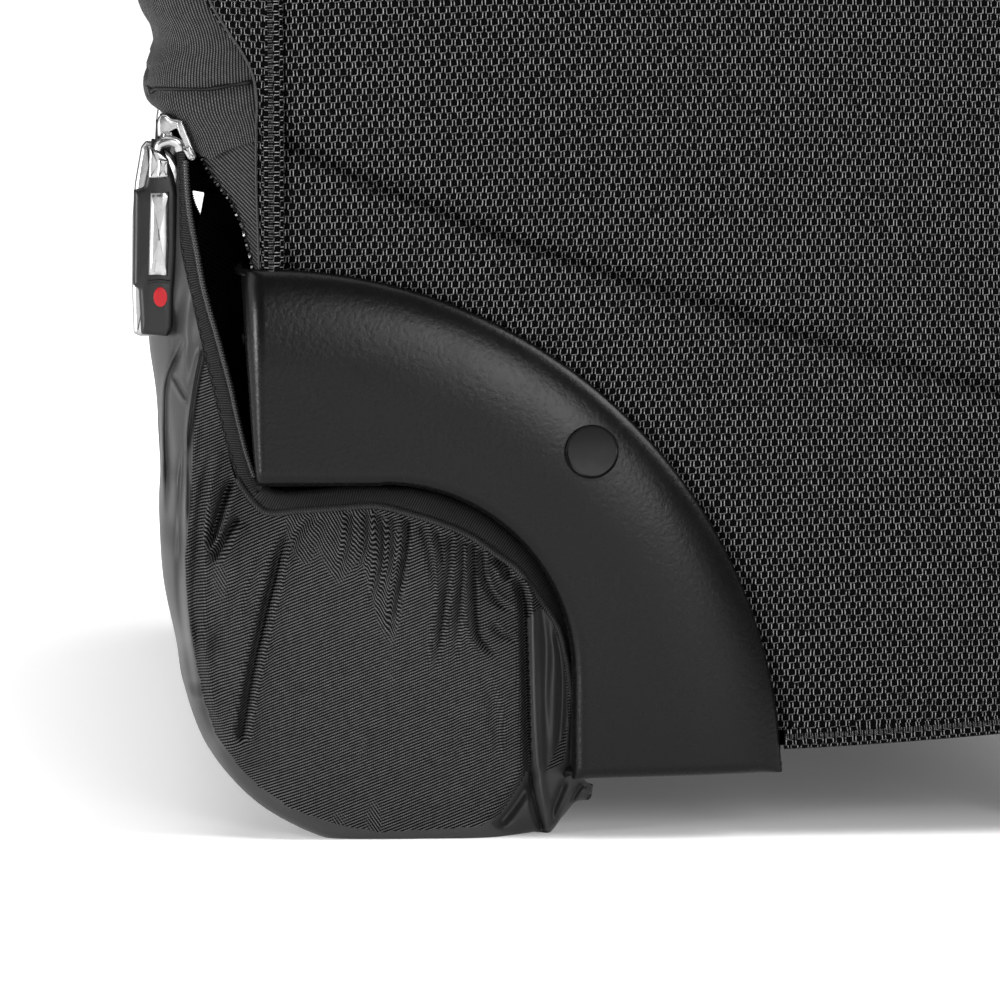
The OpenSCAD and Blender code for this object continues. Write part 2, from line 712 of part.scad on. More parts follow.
mirror([1, 0, 0]) cover_spot() wall_pull();  // cover_pull_right
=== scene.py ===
import math
import bpy
import bmesh
import numpy as np
from mathutils import Vector, Matrix


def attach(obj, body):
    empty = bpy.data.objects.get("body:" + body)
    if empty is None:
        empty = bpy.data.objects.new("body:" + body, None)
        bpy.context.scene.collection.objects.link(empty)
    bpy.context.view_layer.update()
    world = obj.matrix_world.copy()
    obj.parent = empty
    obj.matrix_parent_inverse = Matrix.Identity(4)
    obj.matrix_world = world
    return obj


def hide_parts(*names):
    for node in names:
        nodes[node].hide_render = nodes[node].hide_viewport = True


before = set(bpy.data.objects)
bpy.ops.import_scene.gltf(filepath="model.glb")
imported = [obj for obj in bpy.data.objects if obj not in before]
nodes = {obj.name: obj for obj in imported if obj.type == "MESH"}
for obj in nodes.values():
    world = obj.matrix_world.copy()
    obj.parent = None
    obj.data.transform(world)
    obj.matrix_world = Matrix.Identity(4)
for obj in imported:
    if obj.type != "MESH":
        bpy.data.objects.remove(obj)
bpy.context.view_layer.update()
sc = bpy.context.scene

# All sizes are millimetres in the frame's axes: X across the case, Y to its back, Z up. Places on the side
# face are (u, z), with u counted forwards from the back. The guard's arch has its centre at (0, GUARD_Z) and
# the radius GUARD_R.
SIDE_X, BACK_Y = -219.0, 103.0
GUARD_Z, GUARD_R = 10.8, 106.2

# ---------------------------------------------------------------- camera
# azimuth, elevation, distance, and the focal length in thousandths of the picture's width
AZ, EL, DIST, FPX = math.radians(267.7), math.radians(5.0), 1500.0, 7350.0
AIM = np.array([SIDE_X, 55.0, 70.0])
back = np.array([math.sin(AZ) * math.cos(EL), -math.cos(AZ) * math.cos(EL), math.sin(EL)])
EYE = AIM + DIST * back
cam = bpy.data.cameras.new("camera")
cam.sensor_width = 36
cam.lens = FPX * 36 / 1000
cam.clip_end = 60
cam_o = bpy.data.objects.new("camera", cam)
sc.collection.objects.link(cam_o)
cam_o.location = Vector(EYE * 0.001)
cam_o.rotation_euler = Vector(-back).to_track_quat("-Z", "Y").to_euler()
sc.camera = cam_o


def at(u, z, x):
    """The point on the plane X = x that the main view shows at the place (u, z) of the side face."""
    u, z, x = np.broadcast_arrays(np.asarray(u, float), z, x)
    place = np.stack([np.full(u.shape, SIDE_X), BACK_Y - u, z], -1)
    return EYE + (place - EYE) * ((x - EYE[0]) / (SIDE_X - EYE[0]))[..., None]


# ---------------------------------------------------------------- mesh helpers
def new_mesh(name, verts, faces, mat, uv=None, smooth=60):
    """verts in millimetres; uv one pair per vertex, in millimetres; smooth is the sharp angle in degrees."""
    me = bpy.data.meshes.new(name)
    me.from_pydata([tuple(v) for v in np.asarray(verts, float) * 0.001], [],
                   [list(map(int, f)) for f in faces])
    me.update()
    if uv is not None:
        lay = me.uv_layers.new(name="UVMap")
        idx = np.empty(len(me.loops), np.int32)
        me.loops.foreach_get("vertex_index", idx)
        lay.data.foreach_set("uv", (np.asarray(uv, np.float32)[idx] * 0.001).ravel())
    o = bpy.data.objects.new(name, me)
    sc.collection.objects.link(o)
    if mat:
        me.materials.append(mat)
    if smooth:
        me.polygons.foreach_set("use_smooth", [True] * len(me.polygons))
        if smooth < 180:
            me.set_sharp_from_angle(angle=math.radians(smooth))
    return o


def grid_faces(n, m, close_n=False, close_m=False, flip=False, base=0):
    """Quads of an n by m grid of vertices, row after row."""
    i = np.arange(n if close_n else n - 1)
    j = np.arange(m if close_m else m - 1)
    I, J = [a.ravel() for a in np.meshgrid(i, j, indexing="ij")]
    a, b = I * m + J, ((I + 1) % n) * m + J
    c, d = ((I + 1) % n) * m + (J + 1) % m, I * m + (J + 1) % m
    q = np.c_[a, b, c, d] + base
    return q[:, ::-1] if flip else q


def thicken(o, thick, offset=-1.0, inner=None):
    """Thickness for a surface; inner is the material of its hidden side."""
    mod = o.modifiers.new("thickness", "SOLIDIFY")
    mod.thickness, mod.offset = thick * 0.001, offset
    if inner:
        o.data.materials.append(inner)
        mod.material_offset = 1


def outward(o, merge=False):
    """Turns all faces outwards, once points that coincide are merged if asked."""
    bm = bmesh.new()
    bm.from_mesh(o.data)
    if merge:
        bmesh.ops.remove_doubles(bm, verts=bm.verts, dist=1e-6)
    bmesh.ops.recalc_face_normals(bm, faces=bm.faces)
    bm.to_mesh(o.data)
    bm.free()
    return o


def cut_away(o, test):
    """Removes the faces whose middle, in metres, passes the test."""
    bm = bmesh.new()
    bm.from_mesh(o.data)
    bmesh.ops.delete(bm, geom=[f for f in bm.faces if test(f.calc_center_median())], context="FACES")
    bm.to_mesh(o.data)
    bm.free()


def lengths(path):
    """Distance along a path at each of its points."""
    return np.r_[0, np.cumsum(np.linalg.norm(np.diff(path, axis=0), axis=1))]


def grid(name, P, mat, uv=None, close_n=False, close_m=False, flip=False, smooth=60, thick=0.0, offset=-1.0):
    """A surface through an n by m array of points."""
    P = np.asarray(P, float)
    n, m = P.shape[:2]
    o = new_mesh(name, P.reshape(-1, 3), grid_faces(n, m, close_n, close_m, flip), mat,
                 None if uv is None else np.asarray(uv).reshape(-1, 2), smooth)
    if thick:
        thicken(o, thick, offset)
    return o


def mirrored(o, name):
    """A copy on the other side of X = 0."""
    me = o.data.copy()
    me.name = name
    me.transform(Matrix.Scale(-1, 4, Vector((1, 0, 0))))
    me.flip_normals()
    c = bpy.data.objects.new(name, me)
    sc.collection.objects.link(c)
    for m in o.modifiers:
        k = c.modifiers.new(m.name, m.type)
        k.thickness, k.offset, k.material_offset = m.thickness, m.offset, m.material_offset
    return c


def curve_at(xs, ys, q):
    """Smooth interpolation through ys at xs (Catmull-Rom with uneven spacing)."""
    xs, ys, q = np.asarray(xs, float), np.asarray(ys, float), np.asarray(q, float)
    d = np.diff(ys, axis=0) / np.diff(xs).reshape((-1,) + (1,) * (ys.ndim - 1))
    m = np.empty_like(ys)
    m[0], m[-1] = d[0], d[-1]
    if len(xs) > 2:
        w = (np.diff(xs)[:-1] / (xs[2:] - xs[:-2])).reshape((-1,) + (1,) * (ys.ndim - 1))
        m[1:-1] = d[:-1] * (1 - w) + d[1:] * w
    i = np.clip(np.searchsorted(xs, q, side="right") - 1, 0, len(xs) - 2)
    h = xs[i + 1] - xs[i]
    t = ((q - xs[i]) / h)
    sh = (-1,) + (1,) * (ys.ndim - 1)
    t, h = t.reshape(sh), h.reshape(sh)
    return ((2 * t**3 - 3 * t**2 + 1) * ys[i] + (t**3 - 2 * t**2 + t) * h * m[i]
            + (-2 * t**3 + 3 * t**2) * ys[i + 1] + (t**3 - t**2) * h * m[i + 1])


def spline(pts, n, closed=False):
    """n points evenly spaced along a smooth curve through pts."""
    p = np.asarray(pts, float)
    if closed:
        p = np.vstack([p[-2:], p, p[:3]])
    s = np.r_[0, np.cumsum(np.linalg.norm(np.diff(p, axis=0), axis=1) + 1e-9)]
    lo, hi = (s[2], s[len(p) - 3]) if closed else (0, s[-1])
    f = curve_at(s, p, np.linspace(lo, hi, 30 * len(p)))
    L = lengths(f)
    q = np.linspace(0, L[-1], n + 1)[:-1] if closed else np.linspace(0, L[-1], n)
    return np.stack([np.interp(q, L, f[:, k]) for k in range(p.shape[1])], 1)


def frames(path, up=(1, 0, 0)):
    """Tangent, side and normal along a path; side stays as near up as it can."""
    t = np.gradient(path, axis=0)
    t /= np.linalg.norm(t, axis=1)[:, None]
    up = np.broadcast_to(np.asarray(up, float), path.shape)
    n = up - (up * t).sum(1)[:, None] * t
    n /= np.linalg.norm(n, axis=1)[:, None]
    return t, n, np.cross(t, n)


def sweep(name, path, section, mat, up=(1, 0, 0), closed=False, smooth=60, scale=None, caps=True):
    """A section of (a along up, b along the other normal) swept along a path, with its ends closed."""
    path, section = np.asarray(path, float), np.asarray(section, float)
    t, a, b = frames(path, up)
    k = np.ones(len(path)) if scale is None else np.asarray(scale, float)
    P = path[:, None] + (section[None, :, :1] * a[:, None] + section[None, :, 1:] * b[:, None]) * k[:, None,
            None]
    n, m = P.shape[:2]
    F = [list(f) for f in grid_faces(n, m, closed, True)]
    if caps and not closed:
        F += [list(range(m)), list(range((n - 1) * m, n * m))[::-1]]
    U = np.stack(np.meshgrid(lengths(path), lengths(section), indexing="ij"), -1)
    return outward(new_mesh(name, P.reshape(-1, 3), F, mat, U.reshape(-1, 2), smooth))


def ring(r, n=12, a=1.0, b=1.0):
    """A circle of n points, or an ellipse with its axes scaled by a and b."""
    t = np.linspace(0, 2 * math.pi, n, endpoint=False)
    return np.c_[r * a * np.cos(t), r * b * np.sin(t)]


def rounded_rect(w, h, r, n=5):
    """Outline of a w by h rectangle with corner radius r, counter-clockwise."""
    out = []
    for cx, cy, a0 in ((w / 2 - r, h / 2 - r, 0), (-w / 2 + r, h / 2 - r, 90), (-w / 2 + r, -h / 2 + r, 180),
                       (w / 2 - r, -h / 2 + r, 270)):
        for a in np.linspace(a0, a0 + 90, n):
            out.append((cx + r * math.cos(math.radians(a)), cy + r * math.sin(math.radians(a))))
    return np.array(out)


def join(name, objs):
    """One object out of several that share a body; materials are kept."""
    dg = bpy.context.evaluated_depsgraph_get()
    V, F, MI, UV, mats, base = [], [], [], [], [], 0
    for o in objs:
        bpy.context.view_layer.update()
        me = o.evaluated_get(dg).to_mesh() if o.modifiers else o.data
        co = np.empty(len(me.vertices) * 3, np.float32)
        me.vertices.foreach_get("co", co)
        V.append(co.reshape(-1, 3))
        local = []
        for m in o.data.materials:
            if m not in mats:
                mats.append(m)
            local.append(mats.index(m))
        uvl = me.uv_layers.active
        if uvl:
            u = np.empty(len(me.loops) * 2, np.float32)
            uvl.data.foreach_get("uv", u)
            UV.append(u.reshape(-1, 2))
        else:
            UV.append(np.zeros((len(me.loops), 2), np.float32))
        for p in me.polygons:
            F.append([v + base for v in p.vertices])
            MI.append(local[p.material_index] if local else 0)
        base += len(me.vertices)
    me = bpy.data.meshes.new(name)
    me.from_pydata(np.vstack(V).tolist(), [], F)
    me.update()
    me.uv_layers.new(name="UVMap").data.foreach_set("uv", np.vstack(UV).ravel())
    for m in mats:
        me.materials.append(m)
    me.polygons.foreach_set("material_index", MI)
    me.polygons.foreach_set("use_smooth", [True] * len(me.polygons))
    me.set_sharp_from_angle(angle=math.radians(50))
    o = bpy.data.objects.new(name, me)
    sc.collection.objects.link(o)
    for k in objs:
        bpy.data.objects.remove(k)
    return o


def place(o, body, slot, *replaced):
    """Rides on a body and stands for CAD nodes; slot is not used."""
    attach(o, body)
    if replaced:
        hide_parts(*replaced)
    return o


# ---------------------------------------------------------------- materials
class Num:
    """A number in a node tree, with arithmetic that makes Math nodes."""

    def __init__(self, t, o):
        self.t, self.o = t, o

    def m(self, op, *a):
        n = self.t.nodes.new("ShaderNodeMath")
        n.operation = op
        for i, v in enumerate((self,) + a):
            if isinstance(v, Num):
                self.t.links.new(v.o, n.inputs[i])
            else:
                n.inputs[i].default_value = float(v)
        return Num(self.t, n.outputs[0])

    def __add__(self, v):
        return self.m("ADD", v)

    __radd__ = __add__

    def __sub__(self, v):
        return self.m("SUBTRACT", v)

    def __rsub__(self, v):
        return self.m("MULTIPLY_ADD", -1.0, v)

    def __mul__(self, v):
        return self.m("MULTIPLY", v)

    __rmul__ = __mul__

    def __truediv__(self, v):
        return self.m("DIVIDE", v)

    def abs(self):
        return self.m("ABSOLUTE")

    def frac(self):
        return self.m("FRACT")

    def floor(self):
        return self.m("FLOOR")

    def cos(self):
        return self.m("COSINE")

    def max(self, v):
        return self.m("MAXIMUM", v)

    def min(self, v):
        return self.m("MINIMUM", v)

    def step(self, a, b):
        """0 at a, 1 at b, smooth between."""
        n = self.t.nodes.new("ShaderNodeMapRange")
        n.interpolation_type = "SMOOTHSTEP"
        self.t.links.new(self.o, n.inputs[0])
        lo, hi, f, g = (a, b, 0.0, 1.0) if a < b else (b, a, 1.0, 0.0)
        for i, v in ((1, lo), (2, hi), (3, f), (4, g)):
            n.inputs[i].default_value = v
        return Num(self.t, n.outputs[0])


class Mat:
    """A Principled material whose colour, roughness and bump are built from Num values."""

    def __init__(self, name, rough=0.6, metal=0.0, spec=0.5, sheen=0.0, coat=0.0, sheen_rough=0.5):
        self.mat = bpy.data.materials.new(name)
        self.mat.use_nodes = True
        self.t = self.mat.node_tree
        self.b = self.t.nodes["Principled BSDF"]
        i = self.b.inputs
        i["Roughness"].default_value = rough
        i["Metallic"].default_value = metal
        i["Specular IOR Level"].default_value = spec
        i["Sheen Weight"].default_value = sheen
        i["Sheen Roughness"].default_value = sheen_rough
        i["Coat Weight"].default_value = coat

    def coords(self, kind="Object"):
        """Three numbers in millimetres."""
        n = self.t.nodes.new("ShaderNodeTexCoord")
        s = self.t.nodes.new("ShaderNodeSeparateXYZ")
        self.t.links.new(n.outputs[kind], s.inputs[0])
        return [Num(self.t, s.outputs[k]) * 1000.0 for k in range(3)]

    def noise(self, scale, detail=2.0, rough=0.5, kind="Object", stretch=None):
        """Noise of about 1 / scale millimetres, from 0 to 1."""
        c = self.t.nodes.new("ShaderNodeTexCoord")
        mp = self.t.nodes.new("ShaderNodeMapping")
        mp.inputs["Scale"].default_value = [1000.0 * k for k in (stretch or (1, 1, 1))]
        self.t.links.new(c.outputs[kind], mp.inputs[0])
        n = self.t.nodes.new("ShaderNodeTexNoise")
        n.inputs["Scale"].default_value = scale
        n.inputs["Detail"].default_value = detail
        n.inputs["Roughness"].default_value = rough
        self.t.links.new(mp.outputs[0], n.inputs["Vector"])
        return Num(self.t, n.outputs[0])

    def color(self, v, c0, c1):
        """Base colour from c0 where v is 0 to c1 where v is 1."""
        n = self.t.nodes.new("ShaderNodeMix")
        n.data_type = "RGBA"
        self.t.links.new(v.o, n.inputs[0])
        n.inputs[6].default_value = (*c0, 1)
        n.inputs[7].default_value = (*c1, 1)
        self.t.links.new(n.outputs[2], self.b.inputs["Base Color"])

    def rough(self, v):
        self.t.links.new(v.o, self.b.inputs["Roughness"])

    def bump(self, v, dist, strength=1.0):
        """Height v in units of dist millimetres."""
        n = self.t.nodes.new("ShaderNodeBump")
        n.inputs["Strength"].default_value = strength
        n.inputs["Distance"].default_value = dist * 0.001
        self.t.links.new(v.o, n.inputs["Height"])
        self.t.links.new(n.outputs[0], self.b.inputs["Normal"])


def grey(v):
    return (v, v, v)


def coarse(name, axes=None, dark=0.0005, light=0.235):
    """Heavy basket-woven nylon, 2.04 by 1.36 mm: dark yarn blobs, with painted highlights along the yarn
    edges in the base colour.
    """
    M = Mat(name, rough=0.8, spec=0.03, sheen=0.0)
    c = M.coords("UV" if axes is None else "Object")
    a, b = (c[0], c[1]) if axes is None else (c[axes[0]], c[axes[1]])
    wob = M.noise(0.25, 1.0)
    a = a + (wob - 0.5) * 0.5
    b = b + (M.noise(0.3, 1.0) - 0.5) * 0.5
    r = b / 1.36
    row, y = r.floor(), r.frac()
    x = (a / 2.04 + row * 0.5).frac()
    xc = (x - 0.5).abs()
    vert = (xc - 0.345).abs().step(0.058, 0.015) * (y - 0.56).abs().step(0.46, 0.33)
    under = (y - 0.08 - (x - 0.5) * 0.22).abs().step(0.10, 0.02) * xc.step(0.36, 0.26)
    blob = xc.step(0.29, 0.12) * (y - 0.56).abs().step(0.44, 0.2)
    bar = (xc - 0.5).abs().step(0.08, 0.02) * (y - 0.5).abs().step(0.5, 0.3)
    fuzz = M.noise(1.5, 2.0)
    # edge: painted highlight along the yarns' edges, put into the base colour
    edge = (vert + under * 0.4).min(1.0) * (fuzz * 3.0 - 0.75).max(0.1)
    M.color(edge, grey(dark), grey(light))
    M.bump(vert * 0.9 + under * 0.7 + blob * 0.5 + bar * 0.3, 0.16, 0.7)
    M.rough(0.8 - edge * 0.2)
    return M.mat


def twill(name, angle=20.0, pitch=0.58, dark=0.001, light=0.092, axes=None, sheen=0.0, depth=0.07, flip=None):
    """Fine twill: slanting ribs crossed by small beads; flip turns the ribs over in soft patches."""
    M = Mat(name, rough=0.7, spec=0.05, sheen=sheen, sheen_rough=0.4)
    c = M.coords("UV" if axes is None else "Object")
    a, b = (c[0], c[1]) if axes is None else (c[axes[0]], c[axes[1]])

    def ribs(angle):
        ca, sa = math.cos(math.radians(angle)), math.sin(math.radians(angle))
        p = (b * ca - a * sa) / pitch
        q = (a * ca + b * sa) / (pitch * 0.75) + p.floor() * 0.5
        rib = ((p * (2 * math.pi)).cos() * -0.5 + 0.5).step(0.3, 1.0)
        return rib * ((q * (2 * math.pi)).cos() * 0.28 + 0.72)
    v = ribs(angle)
    if flip is not None:
        m = M.noise(0.055, 2.0, 0.6, stretch=(1, 1, 0.35)).step(0.56, 0.60)
        v = v + (ribs(flip) - v) * m
    n = M.noise(0.9, 2.0)
    M.color(v * (n * 1.1 + 0.45), grey(dark), grey(light))
    M.bump(v, depth, 0.9)
    return M.mat


def plastic(name, base=0.027, rough=0.42, grain=2.2, amount=0.02, spec=0.5, coat=0.0):
    """Moulded plastic with a fine grain and slight wear of the gloss."""
    M = Mat(name, rough=rough, spec=spec, coat=coat)
    g = M.noise(grain, 3.0, 0.6)
    big = M.noise(0.06, 3.0)
    M.color(big * 0.6 + g * 0.4, grey(base * 0.85), grey(base * 1.15))
    M.bump(g, amount)
    M.rough(big * 0.12 + (rough - 0.06) + (g - 0.5) * 0.1)
    return M.mat


def metal(name, base=0.6, rough=0.28, brushed=None):
    """Bare metal; brushed stretches its grain."""
    M = Mat(name, rough=rough, metal=1.0)
    n = M.noise(0.9, 3.0, 0.6, stretch=brushed or (1, 1, 1))
    M.color(n, grey(base * 0.82), grey(base))
    M.bump(n, 0.012)
    M.rough((n - 0.5) * 0.16 + rough)
    return M.mat


def plain(name, colour, rough, spec):
    M = Mat(name, rough=rough, spec=spec)
    M.b.inputs["Base Color"].default_value = (*colour, 1)
    return M.mat


def set_input(mat, name, value):
    """Changes one plain number of a finished material."""
    mat.node_tree.nodes["Principled BSDF"].inputs[name].default_value = value


M_SIDE = coarse("ballistic_nylon")
M_TAPE = twill("zip_tape", angle=45, pitch=0.6, dark=0.008, light=0.085, sheen=0.02)
M_TWILL = twill("cover_twill", angle=22, flip=-58)
M_SATIN = twill("cover_cloth", angle=20, pitch=0.38, dark=0.016, light=0.026, sheen=0.10, depth=0.012)
set_input(M_SATIN, "Specular IOR Level", 0.3)
set_input(M_SATIN, "Roughness", 0.45)
M_GUARD = plastic("guard_plastic", base=0.0025, rough=0.27, grain=1.0, amount=0.05, spec=0.14)
M_SHELL = plastic("shell_plastic", base=0.02, rough=0.45)
M_PULL = plastic("pull_rubber", base=0.006, rough=0.38, amount=0.01, spec=0.25)
M_CHROME = metal("zinc_bright", base=0.36, rough=0.3)
M_COIL = plastic("zip_coil", base=0.015, rough=0.25, amount=0.0)
M_THREAD = twill("thread", angle=60, pitch=0.5, dark=0.01, light=0.06)
M_ALU = metal("aluminium_tube", base=0.62, rough=0.3, brushed=(8, 8, 0.3))
M_STEEL = metal("steel", base=0.55, rough=0.3)
M_TYRE = plastic("tyre_rubber", base=0.02, rough=0.7, grain=1.2, amount=0.05)
M_GREY = plastic("grey_plastic", base=0.12, rough=0.45)
M_BUTTON = plastic("button_plastic", base=0.10, rough=0.4)
M_LINING = twill("lining", angle=35, pitch=0.9, dark=0.05, light=0.13, axes=(0, 2))
M_RED = plain("red_mark", (0.30, 0.006, 0.010), rough=0.35, spec=0.2)

# ---------------------------------------------------------------- stage and light
def make_floor(half=9000.0, z=-0.5):
    """A pale floor whose emission is painted light: faint under the case and stronger away from it, so the
    floor reads white and only a soft shadow stays.
    """
    M = Mat("floor", rough=0.9, spec=0.1)
    M.b.inputs["Base Color"].default_value = (0.9, 0.9, 0.9, 1)
    M.b.inputs["Emission Color"].default_value = (1, 1, 1, 1)
    x, y, _ = M.coords()
    away = (x.abs() - 219.0).max((y - 10.0).abs() - 112.0)
    # painted light: the floor's emission, faint under the case and stronger further from it
    painted_floor_light = away.step(-80, 110) * 0.5 + away.step(60, 420) * 0.45 + 0.09
    M.t.links.new(painted_floor_light.o, M.b.inputs["Emission Strength"])
    corners = [(-half, -half, z), (half, -half, z), (half, half, z), (-half, half, z)]
    return new_mesh("floor", corners, [(0, 1, 2, 3)], M.mat, smooth=0)


floor = make_floor()

# the world lights the scene softly, and is plain white where the camera sees it
world = bpy.data.worlds.new("studio")
world.use_nodes = True
sc.world = world
wt = world.node_tree
lighting = wt.nodes["Background"]
lighting.inputs[0].default_value = (1, 1, 1, 1)
lighting.inputs[1].default_value = 0.10
backdrop = wt.nodes.new("ShaderNodeBackground")
backdrop.inputs[1].default_value = 1.15
ray = wt.nodes.new("ShaderNodeLightPath")
mix = wt.nodes.new("ShaderNodeMixShader")
wt.links.new(ray.outputs["Is Camera Ray"], mix.inputs[0])
wt.links.new(lighting.outputs[0], mix.inputs[1])
wt.links.new(backdrop.outputs[0], mix.inputs[2])
wt.links.new(mix.outputs[0], wt.nodes["World Output"].inputs[0])
sc.view_settings.view_transform = "Standard"


def softbox(name, loc, target, size, power, size_y=None):
    """A square or oblong area light; places and sizes in metres, power in watts."""
    d = bpy.data.lights.new(name, "AREA")
    d.shape = "RECTANGLE"
    d.size, d.size_y, d.energy = size, size_y or size, power
    o = bpy.data.objects.new(name, d)
    sc.collection.objects.link(o)
    o.location = loc
    o.rotation_euler = (Vector(target) - Vector(loc)).to_track_quat("-Z", "Y").to_euler()


softbox("top", (0.1, -0.15, 2.2), (0, 0, 0), 2.4, 44)
softbox("key", (-0.75, -1.15, 1.3), (-0.2, 0.05, 0.08), 0.8, 26)
softbox("rim_back", (-0.5, 1.7, 0.8), (-0.2, 0.1, 0.1), 1.1, 14, 1.5)
softbox("front", (0.1, -2.0, 1.1), (0, 0, 0.15), 1.2, 6)
softbox("side", (-1.65, -0.29, 0.43), (-0.22, 0.05, 0.09), 0.45, 9)
softbox("edge", (-0.85, 1.15, 0.16), (-0.22, 0.1, 0.09), 0.35, 11, 0.25)

# ---------------------------------------------------------------- wheel guards
def edge_drop(d, R, H):
    """How far a face has fallen at distance d from its edge, for an edge rounded over R and H deep."""
    k = np.clip((R - d) / R, 0, 1)
    return H * (1 - np.sqrt(np.clip(1 - k * k, 0, 1)))


# the guard's inner edge, from the guard's corner: wheel arch centre and radius, front edge and flat top
ARCH_U, ARCH_Z, ARCH_R = 24.5, 23.7, 38.4
FRONT_U, TOP_Z = 63.0, 61.9


def guard_inner(th):
    """Inner radius of the guard at an angle: straight front edge, arch round the wheel, flat top."""
    th = np.asarray(th)
    ca, sa = np.cos(th), np.sin(th)
    q = ARCH_U * ca + ARCH_Z * sa
    arc = q + np.sqrt(np.maximum(q * q - (ARCH_U**2 + ARCH_Z**2 - ARCH_R**2), 0))
    top = np.where(th < math.radians(68.4), arc, TOP_Z / np.maximum(sa, 0.3))
    return np.where(th < math.radians(20.6), FRONT_U / ca, top)


def soft_steps(n, a=0.10):
    """0 to 1, closer together near both ends."""
    t = np.linspace(0, 1, n)
    return t + (0.5 - 0.5 * np.cos(math.pi * t) - t) * (1 - a)


def guard_point(th, r, drop=0.0):
    """A point of the guard's face at a given angle and radius, sunk by drop."""
    return np.stack([SIDE_X + drop + 0 * r, BACK_Y - r * np.cos(th), GUARD_Z + r * np.sin(th)], -1)


def make_guard(name):
    low_edge = math.radians(1.35)
    th = low_edge + (math.pi / 2 - low_edge) * soft_steps(110, 0.25)
    f = soft_steps(64, 0.12)
    TH, FR = np.meshgrid(th, f, indexing="ij")
    ri = guard_inner(TH)
    R = ri + (GUARD_R - ri) * FR
    d_in, d_out, d_low = R - ri, GUARD_R - R, R * (TH - th[0])
    low_drop = edge_drop(d_low, 2.4, 2.4) * np.clip(d_out / 4, 0, 1) * np.clip(d_in / 3, 0, 1)
    drop = edge_drop(d_in, 2.9, 2.9) + edge_drop(d_out, 21.0, 4.6) + low_drop
    P = guard_point(TH, R, drop)
    # the rear edge rolls over to the back face
    rear = P[-1]
    w = 1.7 + 2.9 * np.clip((rear[:, 2] - 74) / 40, 0, 1) ** 0.8
    cols = []
    for a in np.radians(np.linspace(9, 90, 10)):
        c = rear.copy()
        c[:, 1] += w * np.sin(a)
        c[:, 0] += w * (1 - np.cos(a)) * 1.15
        cols.append(c)
    for x in (-205.0, -190.0, -169.5):
        c = cols[9].copy()
        c[:, 0] = x
        c[:, 1] -= 0.02 * (x + 214)
        cols.append(c)
    P = np.concatenate([P, np.array(cols)], 0)
    # the lower edge turns inboard as the bottom flange
    lows = []
    for x, up in ((-170.0, 0.75), (-200.0, 0.5), (-213.0, 0.25)):
        c = P[0].copy()
        c[:, 0] = np.maximum(c[:, 0] + up, x)
        c[:, 2] += up
        lows.append(c)
    P = np.concatenate([np.array(lows), P], 0)
    # the inner edge turns inboard as the arch wall and the outer edge meets the panel
    n = P.shape[0]
    inner = P[:, 0]
    walls = []
    for x in (-181.0, -197.0, -210.0, -214.6):
        c = inner.copy()
        c[:, 0] = np.maximum(c[:, 0], x)
        walls.append(c)
    outer = P[:, -1].copy()
    rim = slice(len(lows), None)
    inset = 0.004 * np.clip(np.arange(n - len(lows)) / 4, 0, 1)[:, None]
    outer[rim, 0] = np.maximum(outer[rim, 0] + 0.4, -213.5)
    outer[rim, 1:] += (np.array([BACK_Y, GUARD_Z]) - outer[rim, 1:]) * inset
    outer[:len(lows), 1] -= 0.15
    outer[len(lows)] = P[len(lows), -1] + (0.02, -0.05, 0.0)
    P = np.concatenate([np.stack(walls, 1), P, outer[:, None]], 1)
    return grid(name, P, M_GUARD, flip=True, smooth=50, thick=1.6)


guard_l = make_guard("guard_skin_left")


def revolve(name, prof, mat, n=48, axis=(-1, 0, 0), centre=(0, 0, 0), smooth=35):
    """prof is (radius, height) pairs, turned about the axis through centre."""
    ax = Vector(axis).normalized()
    rot = Vector((0, 0, 1)).rotation_difference(ax).to_matrix()
    prof = np.asarray(prof, float)
    t = np.linspace(0, 2 * math.pi, n, endpoint=False)
    P = np.stack([prof[:, :1] * np.cos(t), prof[:, :1] * np.sin(t), np.repeat(prof[:, 1:], n, 1)], -1)
    P = P.reshape(-1, 3) @ np.array(rot).T + np.asarray(centre, float)
    o = new_mesh(name, P, grid_faces(len(prof), n, False, True), mat, None, smooth)
    return outward(o, merge=True)


def rivet_profile(r, h):
    """A slightly dished cap inside a rolled rim."""
    p = [(r * 0.82, -1.0), (r * 0.98, -0.2), (r, 0.15 * h), (r, 0.6 * h), (r * 0.985, 0.82 * h),
         (r * 0.96, 0.9 * h), (r * 0.925, 0.86 * h), (r * 0.90, 0.74 * h)]
    for k in np.linspace(0.87, 0.0, 8):
        p.append((r * k, h * (0.74 - 0.07 * (1 - (k / 0.9) ** 2))))
    return p


M_RIVET = plastic("rivet_cap", base=0.0015, rough=0.22, grain=0.4, amount=0.001, spec=0.07)
th_r, r_r = math.atan2(69.0, 66.7), math.hypot(66.7, 69.0)
tilt = 0.125
rivet_axis = (-1, -tilt * math.cos(th_r), tilt * math.sin(th_r))
rivet_at = (-218.45, BACK_Y - r_r * math.cos(th_r), GUARD_Z + r_r * math.sin(th_r))
side_rivet = revolve("rivet_side", rivet_profile(5.5, 1.5), M_RIVET, axis=rivet_axis, centre=rivet_at)
back_rivet = revolve("rivet_back", rivet_profile(4.5, 1.3), M_RIVET, axis=(0, 1, 0),
                     centre=(-193, 106.6, 102.5))
foot_rivet = revolve("rivet_foot", rivet_profile(4.0, 1.0), M_RIVET, axis=(0, 0, -1), centre=(-185, 14, 14.0))
rivets_l = join("guard_caps_left", [side_rivet, back_rivet, foot_rivet])
place(guard_l, "case", "guard_plastic", "wheel_guard_left", "wheel_guard_right")
place(mirrored(guard_l, "guard_skin_right"), "case", "guard_plastic")
place(rivets_l, "case", "cap_plastic", "guard_rivets")
place(mirrored(rivets_l, "guard_caps_right"), "case", "cap_plastic")

